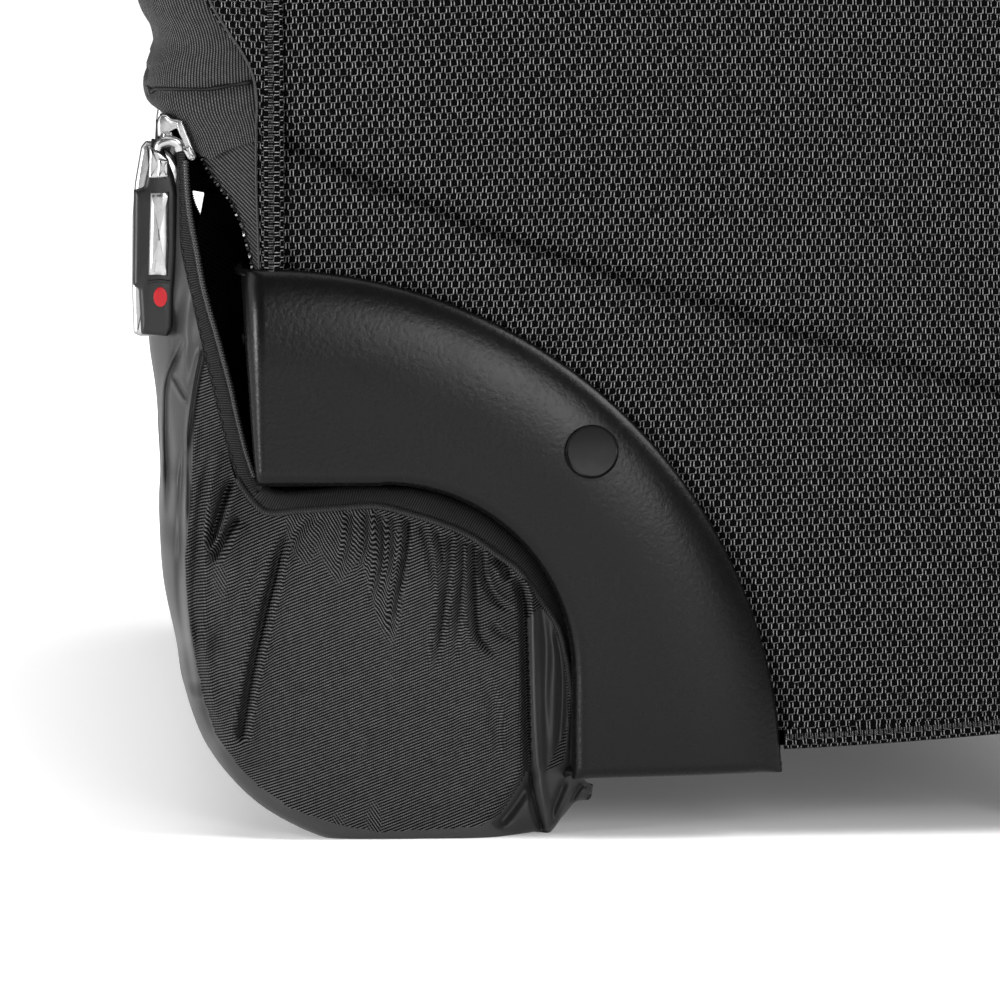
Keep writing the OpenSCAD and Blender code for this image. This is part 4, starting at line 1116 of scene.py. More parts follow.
# the long part of the zip across the back
xs_b = np.linspace(-203, 203, 160)
tape_section = [(119.0, 149.5), (120.2, 149.2), (120.6, 147.8), (120.7, 146.4), (121.0, 146.0),
                (121.0, 144.8), (120.7, 144.4), (120.6, 143.0), (120.5, 141.0), (119.4, 139.8)]
tape_rows = [np.stack([xs_b, np.full(160, y), np.full(160, z)], -1) for y, z in tape_section]
tape_b = grid("back_tape", np.stack(tape_rows, 1), M_TAPE_RIB,
              uv=np.stack([np.stack([np.full(160, v), xs_b], -1) for v in np.linspace(0, 10, 10)], 1),
              flip=True)
coil_b = helix("coil_back", [(x, 121.2, 145.4) for x in np.linspace(-202, 202, 50)], (0, 1, 0), 0.75, 1.1,
               0.24, M_COIL, n_round=7)
st_b = join("sb", [stitches("s%d" % k, [(x, 120.75, z) for x in np.linspace(-201, 201, 50)], 2.0, 1.2, 0.25,
                            M_STITCH_DARK, up=(0, 1, 0)) for k, z in enumerate((148.6, 142.2))])
zip_b = join("cover_zip_back", [tape_b, coil_b, st_b])
place(zip_b, "case", "tape")


# ---------------------------------------------------------------- sliders and pulls
def inset(P, d):
    """A closed outline, counter-clockwise in (y, z), moved inwards by d."""
    P = np.asarray(P, float)
    t = np.roll(P, -1, 0) - np.roll(P, 1, 0)
    t /= np.maximum(np.linalg.norm(t, axis=1), 1e-9)[:, None]
    n = np.stack([-t[:, 1], t[:, 0]], 1)
    return P + n * d


def area2(P):
    """Twice the area of an outline, below 0 when it runs clockwise."""
    return float((P[:, 0] * np.roll(P[:, 1], -1) - np.roll(P[:, 0], -1) * P[:, 1]).sum())


def densify(P, n, corner=0.35):
    """Outline with rounded corners, n points."""
    P = np.asarray(P, float)
    out = []
    for i in range(len(P)):
        a, b, c = P[i - 1], P[i], P[(i + 1) % len(P)]
        la, lc = np.linalg.norm(a - b), np.linalg.norm(c - b)
        r = min(corner, 0.4 * la, 0.4 * lc)
        p0, p1 = b + (a - b) / la * r, b + (c - b) / lc * r
        for k in np.linspace(0, 1, 4):
            out.append((1 - k) ** 2 * p0 + 2 * k * (1 - k) * b + k * k * p1)
    out = np.array(out)
    loop = np.vstack([out, out[:1]])
    s = lengths(loop)
    q = np.union1d(np.linspace(0, s[-1], n)[:-1], s[:-1])
    return np.stack([np.interp(q, s, loop[:, 0]), np.interp(q, s, loop[:, 1])], 1)


def slab(name, yz, x0, x1, mat, bevel=0.5, steps=4, crown=0.0, corner=0.35, n=80):
    """A plate with outline yz from x0 (outer, shown) to x1, its outer edge rounded; crown bows that face."""
    P = densify(yz, n, corner)
    if area2(P) < 0:
        P = P[::-1]
    sgn = 1 if x1 > x0 else -1
    rings = []
    for a in np.linspace(0, math.pi / 2, steps):
        q = inset(P, bevel * (1 - math.sin(a)))
        rings.append(np.c_[np.full(len(q), x0 + sgn * bevel * (1 - math.cos(a))), q])
    # rings run from the face's inset edge to the side, then to the back
    rings.append(np.c_[np.full(len(P), x1 - sgn * bevel * 0.6), P])
    rings.append(np.c_[np.full(len(P), x1), inset(P, bevel * 0.6)])
    c = P.mean(0)
    first = rings[0]
    face = []
    for k in (0.75, 0.45, 0.15):
        q = c + (first[:, 1:] - c) * k
        face.append(np.c_[first[:, 0] - sgn * crown * (1 - k * k), q])
    rings = face[::-1] + rings
    R = np.array(rings)
    m = R.shape[1]
    F = [list(f) for f in grid_faces(len(R), m, False, True)]
    F += [list(range(m)), list(range((len(R) - 1) * m, len(R) * m))]
    return outward(new_mesh(name, R.reshape(-1, 3), F, mat, None, 40))


def seen(pts, x):
    """(y, z) on the plane X = x of an outline given as (u, z) on the side face."""
    pts = np.array(pts, float)
    return at(pts[:, 0], pts[:, 1], x)[:, 1:]


def make_pull(name):
    """The cover's pull as it hangs on the left: a bright metal core in a dark moulded sleeve."""
    core = slab("core", seen([(-23.9, 143.3), (-24.9, 142.1), (-26.2, 134.6), (-26.7, 127.7), (-26.9, 113.7),
                              (-26.6, 104.3), (-25.4, 103.7), (-19.6, 103.7), (-18.7, 105.7), (-18.4, 113.3),
                              (-17.9, 120.6), (-17.6, 132.4), (-16.4, 137.4), (-18.6, 140.7), (-21, 142.9)],
                             -204.5), -204.9, -200.2, M_CHROME, bevel=1.0)
    rubber = slab("sleeve", seen([(-22.8, 143.7), (-23.1, 139.9), (-24.4, 134), (-26.4, 133.4),
                                  (-26.7, 114.1), (-25.5, 113.3), (-25, 104.1), (-19.6, 103.6),
                                  (-18.6, 105.5), (-18.3, 113.3), (-17.7, 120.6), (-17.5, 132.4),
                                  (-18.2, 136.2), (-19.4, 139.5), (-21, 143.3)], -205.5), -206.0, -199.6,
                  M_PULL, bevel=1.1, crown=0.25)
    win = slab("window", seen([(-23.1, 142.3), (-21, 141.1), (-19.2, 139.5), (-19.2, 135.8), (-23.3, 135.8)],
                              -206.4), -206.75, -204, M_CHROME, bevel=0.45)
    strap = slab("strap", seen([(-21.4, 139.9), (-19.3, 139.5), (-19.3, 136), (-21.7, 135.8)], -206.6),
                 -207.15, -204, M_CHROME, bevel=0.5)
    inlay = slab("inlay", seen([(-23.1, 133), (-19.1, 133.2), (-19.1, 123.2), (-19.5, 115.7), (-23.6, 115.9),
                                (-23.4, 124.3)], -206.3), -206.9, -204, M_CHROME, bevel=1.35, steps=7,
                 crown=0.1)
    mark = slab("mark", seen(ring(1.0, 16, 1.43, -2.04) + [-21.05, 111.65], -206.2), -206.32, -204, M_RED,
                bevel=0.15, corner=0.6)
    # a moulded step above the mark
    lip = sweep("lip", spline([(-206.15, *p) for p in seen([(-23.6, 114.7), (-21.5, 115), (-19.1, 114.7)],
                                                           -206.15)], 10), ring(0.35, 8), M_PULL,
                up=(-1, 0, 0))
    return join(name, [core, rubber, win, strap, inlay, mark, lip])


def make_slider(name):
    """The zip slider with its bail."""
    body = slab("body", seen([(-21.6, 147.4), (-21, 148.6), (-19.8, 148.9), (-18.6, 147.9), (-16.8, 147.7),
                              (-16.1, 146.8), (-13.6, 140.1), (-15.1, 139.4), (-16.2, 142.1), (-17.5, 145.4),
                              (-19.6, 144.1), (-21.5, 144.2)], -209.6), -210.1, -197.5, M_CHROME, bevel=0.7,
                corner=0.5)
    plate = slab("plate", seen([(-17.8, 147.2), (-16.6, 147.6), (-13.6, 140.1), (-14.3, 139.3),
                                (-15.2, 139.5), (-17.4, 145.4)], -210.1), -210.6, -197.0, M_CHROME,
                 bevel=0.35)
    low = slab("wing", seen([(-16.8, 142.3), (-14.9, 142.4), (-13.7, 139.9), (-15.2, 139.4)], -210.4),
               -211.0, -203, M_CHROME, bevel=0.5)
    ch = seen([(-21.6, 141.5), (-21.1, 142.6), (-20, 143.2), (-18.6, 143.3), (-17.4, 142.6), (-17, 141.3)],
              -210.8)
    bail = sweep("bail", spline([(-210.8, *p) for p in ch], 36), ring(1.5, 18, 1.0, 0.8), M_CHROME,
                 up=(-1, 0, 0), scale=0.75 + 0.25 * np.sin(np.linspace(0, math.pi, 36)))
    post = slab("post", seen([(-20.4, 145.2), (-18.6, 145.2), (-18, 143.3), (-20.8, 143.3)], -210.4), -211.1,
                -199, M_CHROME, bevel=0.5)
    return join(name, [body, plate, low, bail, post])


pull_l, slid_l = make_pull("cover_pull_skin_left"), make_slider("cover_slider_skin_left")
pull_r, slid_r = mirrored(pull_l, "cover_pull_skin_right"), mirrored(slid_l, "cover_slider_skin_right")
# the far pair hangs a little further forward, clear of the view through the pocket
for far in (pull_r, slid_r):
    far.data.transform(Matrix.Translation((0, -0.0019, 0)))
place(pull_l, "cover_pull_left_body", "pull_rubber", "cover_pull_left")
place(pull_r, "cover_pull_right_body", "pull_rubber", "cover_pull_right")
place(slid_l, "cover_slider_left_body", "zinc", "cover_slider_left")
place(slid_r, "cover_slider_right_body", "zinc", "cover_slider_right")

# ---------------------------------------------------------------- back pad, flap and the ends seen at the
# upper left
M_RIB = twill("pad_twill", angle=84, pitch=0.62, dark=0.006, light=0.085, sheen=0.05)
# near-black cloth: painted shade for the hollow behind the cover's ends
M_LINING_SHADE = twill("pocket_lining_painted_shade", angle=30, pitch=0.8, dark=0.0006, light=0.004, sheen=0.0)
set_input(M_LINING_SHADE, "Specular IOR Level", 0.02)

# rear outline of pad and flap near the left end, (y, z), from the zip up
REAR = [(121.6, 146.2), (124.0, 148.6), (127.2, 151.0), (127.8, 153.2), (127.6, 155.8), (126.6, 159.0),
        (125.4, 162.0), (126.0, 165.5), (127.8, 169.0), (129.2, 173.5), (129.8, 180), (130.3, 196),
        (130.6, 240), (130.4, 300), (129.6, 335), (127.2, 348), (121.5, 355.5), (114, 358.5), (106, 359.2),
        (101, 359.0)]
rear = spline(REAR, 260)
# across: y and x of the section at the corner; share 0 is the strip, 1 the middle of the back
corner_x = np.array([-213.2, -212.9, -212.3, -211.4, -209.8, -207.2, -203.6, -199.0, -192, -180, -160, -130,
                     -90, -45, 0.0])
corner_f = np.array([0.0, 0.16, 0.34, 0.52, 0.68, 0.82, 0.915, 0.965, 0.99, 1.0, 1.0, 1.0, 1.0, 1.0, 1.0])
m_c = 150
kc = np.r_[np.linspace(0, 8, 70)[:-1], np.linspace(8, 14, m_c - 69)]
cx, cf = curve_at(np.arange(15.0), corner_x, kc), np.clip(curve_at(np.arange(15.0), corner_f, kc), 0, 1.003)
y0 = 102.2
CX = np.broadcast_to(cx[None], (len(rear), m_c))
YB, ZB = rear[:, :1], rear[:, 1:2]
Y2 = y0 + (YB - y0) * cf[None]
# the lower edge of the end dips forwards to the strip, and the horizontal seam is a groove
dip = np.interp(cf, [0, 0.2, 0.45, 0.6, 0.7, 0.85, 1], [-2.9, -3.6, -5.2, -6.9, -6.2, -3.4, 0])
Z2 = ZB + dip[None] * np.clip((153 - ZB) / 6.8, 0, 1)
seam_z = np.where(CX > -199, 156.4, 153.0 + 2.6 * (1 - cf[None]) - 0.7 * np.sin(cf[None] * math.pi))
groove = np.exp(-(((Z2 - seam_z) / 0.75) ** 2))
side_w = np.clip(1 - cf[None] * 0.9, 0.1, 1)
puff = 0.9 * np.sin(np.clip(cf[None], 0, 1) * math.pi) * (0.6 + 0.4 * np.sin(Z2 / 9.0))
wrk = 0.35 * np.sin(Z2 / 3.1 + 2.2 * np.sin(CX / 11.0)) * np.exp(-((Z2 - 165) / 9.0) ** 2) + 0.25 * np.sin(Z2
        / 5.0 + CX / 14.0)
Xp = CX - puff * np.clip((-CX - 190) / 15, 0, 1) + groove * 2.3 * np.clip((-CX - 196) / 8, 0,
        1) + 0.5 * wrk * side_w
back_k = np.clip((CX + 209) / 12, 0, 1)
# quilting seams, three across and two up and down on each half
quilt = sum(np.exp(-(((Z2 - zq) / 2.2) ** 2)) for zq in (205, 252, 299))
for xq in (-128, -72):
    rib = 0.8 * np.exp(-(((CX - xq) / 2.2) ** 2)) * np.clip((Z2 - 168) / 8, 0, 1)
    quilt = quilt + rib * np.clip((350 - Z2) / 8, 0, 1)
hollow = 3.3 * np.clip(1 - (CX / 62) ** 2, 0, 1) ** 0.5 * np.clip((Z2 - 170) / 14, 0, 1)
Y2 = Y2 + (0.5 * wrk - groove * 1.5 - 1.6 * np.clip(quilt, 0, 1.2)) * back_k - hollow
pad = np.stack([Xp, Y2, Z2], -1)
full_p = np.concatenate([pad, (pad * [-1, 1, 1])[:, ::-1][:, 1:]], 1)
arc = np.r_[0, np.cumsum(np.hypot(np.diff(cx), np.diff(cf) * 25))]
Uc = np.broadcast_to(arc[None], (len(rear), m_c))
uvp = np.stack([Uc, lengths(rear)[:, None] + 0 * Uc], -1)
full_uvp = np.concatenate([uvp, (uvp * [-1, 1])[:, ::-1][:, 1:]], 1)
pad_o = grid("back_pad_cover", full_p, M_RIB, uv=full_uvp, flip=True, smooth=180)
place(pad_o, "case", "twill_nylon", "back_pad", "cover_flap")
# the flap's seam along its groove, as a near-black cord: a real seam, darkened as painted shade of the groove
gcols = [c for c in range(6, m_c) if cx[c] < -198.5]
gl = np.array([pad[np.argmin(np.abs(Z2[:, c] - seam_z[:, c])), c] for c in gcols])
gl[:, 2] = np.convolve(np.pad(gl[:, 2], 4, mode="edge"), np.ones(9) / 9, mode="valid")
flap_seam_shade = sweep("fs", gl + [-0.5, 0.15, 0], ring(0.42, 8), M_STITCH_DARK, up=(-1, 0, 0))

# woven strip beside the piping: narrow at the bottom, sweeping back over the pad's end higher up
DIAG = [(119, 380), (118, 300), (117.2, 220), (116.4, 186), (114.6, 171.5), (110.5, 165), (107.3, 160.5),
        (105.4, 156.6), (104.6, 152.6), (104.6, 146), (104.7, 138), (104.3, 124), (104.0, 114.5)]
dg = spline(DIAG, 200)[::-1]
dg = dg[dg[:, 1] < 357]
rows = []
for k in np.linspace(0, 1, 16):
    y = 102.3 + (dg[:, 0] - 102.3) * k
    zc = dg[:, 1]
    f = np.interp(zc, rear[:, 1], rear[:, 0])
    share = np.clip((y - y0) / np.maximum(f - y0, 1), 0, 1)
    x = np.interp(share, cf[:100], cx[:100]) - 1.0 - 0.9 * np.sin(share * math.pi)
    x = np.where(zc < 147, -213.4 + 0.5 * k, x)
    rows.append(np.stack([x - 0.35 + (0.9 if k == 1 else 0), y, zc], -1))
strip = np.stack(rows, 1)
strip_l = grid("woven_strip", strip, M_SIDE, uv=np.stack([strip[..., 1], strip[..., 2]], -1), smooth=180)
edge_l = sweep("strip_edge", strip[:, -2] + [-0.1, 0, 0], ring(0.28, 6), M_STITCH, up=(-1, 0, 0))

# the zip's other half, a ribbed tape on the case, with its teeth
zt = np.linspace(142.5, 112, 260)
yr = np.interp(zt, [112, 117, 122, 128, 133, 138, 142.5], [104.2, 104.6, 105.6, 107.2, 109.6, 113.4, 117.5])
P = []
for k in np.linspace(0, 1, 10):
    P.append(np.stack([-212.9 + 5.0 * k ** 1.6 + 0 * zt, 103.8 + (yr - 103.8) * k, zt - 2.2 * k
                       + 3.2 * k * (zt > 138) * (zt - 138) / 4.5], -1))
rt = np.stack(P, 1)
rt[..., 0] += 0.28 * np.cos(2 * math.pi * (rt[..., 2] - 0.42 * (rt[..., 1] - 104)) / 1.35)
ribt = grid("ribbed_half", rt, M_TAPE, uv=np.stack([rt[..., 1], rt[..., 2]], -1), flip=True, smooth=180)
teeth = stitches("teeth", rt[::-1, -1] + [-0.3, 0.2, 0], 0.62, 0.55, 0.5, M_COIL)
back_l = join("case_zip_half_left", [strip_l, edge_l, ribt, teeth, flap_seam_shade])
place(back_l, "case", "tape")
place(mirrored(back_l, "case_zip_half_right"), "case", "tape")

# lining that closes the space behind the cover at its ends, near black as painted shade of the hollow there
zl = np.linspace(141.5, 76, 180)
yl = np.interp(zl, [76, 90, 100, 115, 122, 127, 134, 141.5],
               [119.5, 119.3, 119.2, 118.6, 117.7, 116.3, 115.0, 114.2])
yl_l = np.interp(zl, [76, 90, 100, 115, 120, 124.3, 131.6, 132.4, 141.5],
                 [119.5, 119.3, 119.2, 118.6, 117.6, 116.4, 115.1, 119.5, 119.5])


def make_lining(side, reach, front=100.2):
    """A wavy sheet across one end of the pocket, from front back to reach; side is 1 for the left end."""
    cols = []
    for k in np.linspace(0, 1, 14):
        x = side * (3 * np.sin(zl / 7.0 + 3 * k) - 192)
        cols.append(np.stack([x, front + (reach - front) * k, zl], -1))
    return np.stack(cols, 1)


lining = make_lining(1, yl_l)
lin_o = grid("pocket_lining_left", lining, M_LINING_SHADE, uv=lining[..., [1, 2]], smooth=180)
place(lin_o, "case", "lining")
lining_r = make_lining(-1, yl - 5.0 * np.exp(-((zl - 111) / 9) ** 2))
lin_r = grid("pocket_lining_right", lining_r, M_LINING_SHADE, uv=lining_r[..., [1, 2]], smooth=180, flip=True)
place(lin_r, "case", "lining")

# ---------------------------------------------------------------- the same slider and pull elsewhere,
# turned to suit
def moved(o, name, M):
    """A copy of an object's mesh, put elsewhere."""
    me = o.data.copy()
    me.name = name
    me.transform(M)
    c = bpy.data.objects.new(name, me)
    sc.collection.objects.link(c)
    return c


def turn_to(origin, ex, ey, ez, src):
    """Takes the cover pull's place (src, hanging down, outer face to -X) to a new origin and axes."""
    A = Matrix((ex, ey, ez)).transposed().to_4x4()
    return Matrix.Translation(Vector(origin) * 0.001) @ A @ Matrix.Translation(-Vector(src) * 0.001)


PULL_AT, SLIDER_AT = (-202.5, 125.5, 142.5), (-202.5, 122.0, 142.5)
# pocket: faces -Y and hangs down; its width runs along X
hang = ((0, 1, 0), (-1, 0, 0), (0, 0, 1))
place(moved(pull_l, "pocket_pull_skin", turn_to((110, -123.4, 218.0), *hang, PULL_AT)),
      "pocket_pull_body", "pull_rubber", "pocket_pull")
place(moved(slid_l, "pocket_slider_skin", turn_to((106.5, -121.8, 217.6), *hang, SLIDER_AT)),
      "pocket_slider_body", "zinc", "pocket_slider")
# main pair: lie back on the top, pulls towards +Y
for s, side in ((-1, "left"), (1, "right")):
    lie = ((0, 0, -1), (s, 0, 0), (0, -1, 0))
    place(moved(pull_l, "main_pull_skin_" + side, turn_to((s * 8.0, -72.5, 374.6), *lie, PULL_AT)),
          "main_pull_%s_body" % side, "pull_rubber", "main_pull_" + side)
    place(moved(slid_l, "main_slider_skin_" + side, turn_to((s * 8.0, -75.3, 371.4), *lie, SLIDER_AT)),
          "main_slider_%s_body" % side, "zinc", "main_slider_" + side)

# ---------------------------------------------------------------- padded fabric panels of the case, lid and
# pocket
def cushion(name, size, centre, r, place_fn, depth, R, bulge, mat, wrinkle=None, rings=40, thick=0.0,
            inner=None):
    """A soft rectangular panel: a bulging face with corner radius r, rounded edges, a wall depth deep.

    place_fn(a, b, h) gives the place of (a, b) on the face at height h.
    """
    (w, h_), (ca, cb) = size, centre

    def outline(gap, n=26):
        """The rounded rectangle, gap inside the edge, with more points along its straight sides."""
        q = rounded_rect(w - 2 * gap, h_ - 2 * gap, max(r - gap, 0.5), n)
        out = []
        for i in range(4):
            c0 = q[i * n:(i + 1) * n]
            nxt = q[((i + 1) % 4) * n]
            out.append(c0)
            out.append(c0[-1] + (nxt - c0[-1]) * np.linspace(0, 1, 62)[1:-1, None])
        return np.vstack(out)
    Q, H, U = [], [], []
    base = outline(R)
    for k in np.linspace(0.01, 1, rings):
        q = base * k
        rel = 1 - np.abs(2 * q / [w - 2 * R, h_ - 2 * R]) ** 4
        Q.append(q)
        H.append(bulge * rel[:, 0] * rel[:, 1])
        U.append(q)
    for a in np.linspace(0, math.pi / 2, 9)[1:]:
        q = outline(R * (1 - math.sin(a)))
        Q.append(q)
        H.append(np.full(len(q), -R * (1 - math.cos(a))))
        U.append(q)
    P = outline(0)
    for fall in np.linspace(-R, -depth, 12)[1:]:
        Q.append(P)
        H.append(np.full(len(P), fall))
        U.append(P + np.sign(P) * np.where(np.abs(P) > np.array([w / 2 - 1, h_ / 2 - 1]), -fall - R, 0))
    A, B = np.moveaxis(np.array(Q), -1, 0)
    H, U = np.array(H), np.array(U)
    if wrinkle is not None:
        H = H + wrinkle(A, B) * np.clip(1 + (H - bulge) / (depth + bulge), 0, 1)
    G = np.stack(place_fn(A + ca, B + cb, H), -1)
    m = G.shape[1]
    F = [list(f) for f in grid_faces(len(G), m, False, True)] + [list(range(m))]
    o = new_mesh(name, G.reshape(-1, 3), F, mat, U.reshape(-1, 2), 180)
    bm = bmesh.new()
    bm.from_mesh(o.data)
    bmesh.ops.recalc_face_normals(bm, faces=bm.faces)
    bm.faces.ensure_lookup_table()
    want = Vector(np.array(place_fn(0.0, 0.0, 1.0)) - np.array(place_fn(0.0, 0.0, 0.0)))
    if bm.faces[-1].normal.dot(want) < 0:
        bmesh.ops.reverse_faces(bm, faces=bm.faces)
    bm.to_mesh(o.data)
    bm.free()
    if thick:
        thicken(o, thick, inner=inner)
    return o


def rect(w, h, cx=0.0, cy=0.0):
    return [(cx - w / 2, cy - h / 2), (cx + w / 2, cy - h / 2), (cx + w / 2, cy + h / 2),
            (cx - w / 2, cy + h / 2)]


def soft(a, b):
    """Gentle waves of sewn fabric, under a millimetre high."""
    wide = 0.5 * np.sin(a / 31.0 + 1.3 * np.sin(b / 47.0)) * np.sin(b / 27.0)
    return wide + 0.3 * np.sin(a / 12.0 + b / 17.0) * np.sin(b / 15.0 - a / 40.0)


def front(y0):
    return lambda a, b, h: (a, y0 - h, b)


# lid: front face and its side walls, closing on the case at the zip
lid = cushion("lid_fabric", (429, 349), (0, 193.2), 14, front(-99.0), 22.6, 9, 2.4, M_SIDE, wrinkle=soft,
              thick=3.0, inner=M_LINING)
place(lid, "lid", "ballistic_nylon", "lid_panel", "lid_gusset")


def pocket_soft(a, b):
    return 1.2 * soft(a * 1.3, b)


pocket = cushion("front_pocket_fabric", (378, 212), (0, 144), 16, front(-117.4), 16.5, 7, 2.0, M_SIDE,
                 wrinkle=pocket_soft, thick=1.6)
place(pocket, "lid", "ballistic_nylon", "front_pocket")


def rim_path(y, w=430.0, h0=130.0, top=368.6, r=9.0, n=300):
    pts = [(-w / 2, y, z) for z in np.linspace(h0, top - r, 40)]
    pts += [(-w / 2 + r * (1 - math.cos(a)), y, top - r + r * math.sin(a))
            for a in np.radians(np.linspace(8, 90, 10))]
    pts += [(x, y, top) for x in np.linspace(-w / 2 + r + 4, w / 2 - r - 4, 80)]
    pts += [(w / 2 - r * (1 - math.cos(a)), y, top - r + r * math.sin(a))
            for a in np.radians(np.linspace(90, 8, 10))]
    pts += [(w / 2, y, z) for z in np.linspace(top - r, h0, 40)]
    pts = np.array(pts)
    s = lengths(pts)
    q = np.linspace(0, s[-1], n)
    return np.stack([np.interp(q, s, pts[:, k]) for k in range(3)], 1)


def rim_out(p):
    """Outward direction along the rim."""
    v = np.stack([np.where(np.abs(p[:, 0]) > 204, np.sign(p[:, 0]), 0), 0 * p[:, 0],
                  np.where(p[:, 2] > 357, 1.0, 0)], 1)
    return v / np.linalg.norm(v, axis=1)[:, None]


flat = np.array([(0.45, -3.1), (0.55, 0), (0.45, 3.1), (0, 3.2), (-1.2, 3.2), (-1.2, -3.2), (0, -3.2)])
for nm, y, body, rep in (("case", -71.6, "case", "main_zip_tape"), ("lid", -79.2, "lid", "lid_zip_tape")):
    p = rim_path(y)
    tp_ = sweep(nm + "_tape", p, flat, M_TAPE_RIB, up=rim_out(p), smooth=30)
    yy = y + (1.6 if nm == "case" else -1.6)
    p2 = rim_path(yy, 430.9, top=369.1)
    s1 = stitches(nm + "_st", p2, 2.2, 1.3, 0.28, M_STITCH_DARK, up=rim_out(p2))
    extra = []
    if nm == "case":
        p3 = rim_path(-75.35, 430.4, top=368.9, n=700)
        extra = [helix("main_coil", p3, rim_out(p3), 0.95, 1.4, 0.33, M_COIL, n_round=7)]
    place(join(nm + "_zip_tape", [tp_, s1] + extra), body, "tape", rep)

# pocket zip on the pocket's face
xs_p = np.linspace(-148, 148, 150)
pz_section = [(211.5, -2.5), (212, -0.2), (212.6, 0.2), (216, 0.3), (216.6, -0.1),
              (219.4, -0.1), (220, 0.3), (223.4, 0.2), (224, -0.2), (224.5, -2.5)]
pz_rows = [np.stack([xs_p, np.full(150, -119.9 - dy), np.full(150, z)], -1) for z, dy in pz_section]
pz_uv = [np.stack([np.full(150, v), xs_p], -1) for v in np.linspace(0, 12, 10)]
pt = grid("pz", np.stack(pz_rows, 1), M_TAPE_RIB, uv=np.stack(pz_uv, 1))
pcoil = helix("pc", [(x, -120.1, 218) for x in np.linspace(-147, 147, 40)], (0, -1, 0), 0.85, 1.3, 0.28,
              M_COIL, n_round=7)
pst = [stitches("ps%d" % k, [(x, -120.15, z) for x in np.linspace(-146, 146, 40)], 2.2, 1.3, 0.26,
                M_STITCH_DARK, up=(0, -1, 0)) for k, z in enumerate((213.6, 222.4))]
place(join("pocket_zip_tape", [pt, pcoil] + pst), "lid", "tape", "pocket_zip")

# piping round the front edge of the lid and round the pocket
loop = densify(rect(421, 341, 0, 193.2), 400, 12)
lp2 = sweep("lid_piping", np.c_[loop[:, 0], np.full(len(loop), -97.2), loop[:, 1]], ring(2.1, 10), M_SIDE,
            up=(0, -1, 0), closed=True)
loop = densify(rect(380, 214, 0, 144), 300, 16)
lp3 = sweep("pocket_piping", np.c_[loop[:, 0], np.full(len(loop), -102.0), loop[:, 1]], ring(1.7, 10),
            M_SIDE, up=(0, -1, 0), closed=True)
place(join("lid_pipings", [lp2, lp3]), "lid", "ballistic_nylon")

# top panel, with the slot that the trolley passes through
tx, ty = np.linspace(-212.6, 212.6, 230), np.linspace(-74.8, 99.6, 110)
TX, TY = np.meshgrid(tx, ty, indexing="ij")
TZ = 368.0 - 0.9 * np.exp(-((212.6 - np.abs(TX)) / 3.0) ** 2) + 0.25 * soft(TX,
        TY) * np.clip((206 - np.abs(TX)) / 20, 0, 1) - 1.2 * np.exp(-((TY - 98) / 3.0) ** 2)
TZ = np.minimum(TZ, 368.0)
top = grid("top_fabric", np.stack([TX, TY, TZ], -1), M_SIDE, uv=np.stack([TX, TY], -1), smooth=180)
cut_away(top, lambda c: abs(c.x) < 0.1285 and abs(c.y - 0.082) < 0.0135)
thicken(top, 2.8, inner=M_LINING)
place(top, "case", "ballistic_nylon", "top_panel")
pp = [(-213.2, y, 366.6) for y in np.linspace(97.5, -66, 60)]
tp_l = sweep("top_piping_l", pp, ring(2.2, 12), M_SIDE, up=(-1, 0, 0))
tp_b = sweep("top_piping_b", [(x, 98.6, 367.0) for x in np.linspace(-211, 211, 80)], ring(2.1, 12), M_SIDE,
             up=(0, 1, 0))
tp_r = mirrored(tp_l, "top_piping_r")
place(join("top_piping", [tp_l, tp_b, tp_r]), "case", "ballistic_nylon")

# bottom panel, rising with the piping towards the front, cut away round the wheels
bx, by = np.linspace(-211.5, 211.5, 180), np.linspace(-75.0, 99.0, 120)
BX, BY = np.meshgrid(bx, by, indexing="ij")
BZ = np.minimum(z_seam(BACK_Y - BY) - 1.7, 22.1)
bot = grid("bottom_fabric", np.stack([BX, BY, BZ], -1), M_SIDE, uv=np.stack([BX, BY], -1), flip=True,
           smooth=180)
cut_away(bot, lambda c: abs(c.x) > 0.1765 and c.y > 0.040)
place(bot, "case", "ballistic_nylon", "bottom_panel")

# front feet, moulded
def foot(name):
    secs = []
    for z, g, sy in [(0.0, 4.2, -63), (0.4, 3.4, -62.4), (1.6, 2.2, -61.5), (6, 1.0, -60), (12, 0.3, -59),
                     (22.6, 0.0, -58.5)]:
        P = densify([(-205 + g, -74 + g * 1.2), (-150 - g, -74 + g * 1.2), (-150 - g, sy + 1),
                     (-205 + g, sy + 1)], 60, 4)
        secs.append(np.c_[P, np.full(len(P), z)])
    S = np.array(secs)
    m = S.shape[1]
    F = [list(f) for f in grid_faces(len(S), m, False, True)]
    F += [list(range(m)), list(range((len(S) - 1) * m, len(S) * m))]
    return outward(new_mesh(name, S.reshape(-1, 3), F, M_SHELL, None, 35))


foot_l = foot("foot_moulding_left")
place(foot_l, "case", "shell_plastic", "foot_left")
place(mirrored(foot_l, "foot_moulding_right"), "case", "shell_plastic", "foot_right")

# carry handle: padded grip, its seam, and the webbing down to the anchors
gx_ = np.linspace(-94, 94, 120)
gp = np.c_[gx_, np.full(120, 12.0), 402.0 + 0.8 * (1 - (gx_ / 94) ** 2)]
endk = np.clip((94 - np.abs(gx_)) / 6.0, 0, 1)
sec = np.array([(7.6 * abs(math.cos(t)) ** 0.7 * np.sign(math.cos(t)), 11.6 * abs(math.sin(t)) ** 0.75
                 * np.sign(math.sin(t))) for t in np.linspace(0, 2 * math.pi, 44, endpoint=False)])
grip = sweep("grip_pad", gp, sec, M_SIDE, up=(0, 0, 1), scale=0.35 + 0.65 * np.sqrt(1 - (1 - endk) ** 2),
             smooth=180)
gseam = sweep("grip_seam", gp[4:-4] + [0, 0, -7.7], ring(0.9, 8), M_TAPE_RIB, up=(0, 0, 1))
gst = [stitches("gs%d" % k, gp[6:-6] + [0, dy, -7.2], 2.2, 1.4, 0.3, M_STITCH, up=(0, 0, -1)) for k,
       dy in enumerate((-3, 3))]
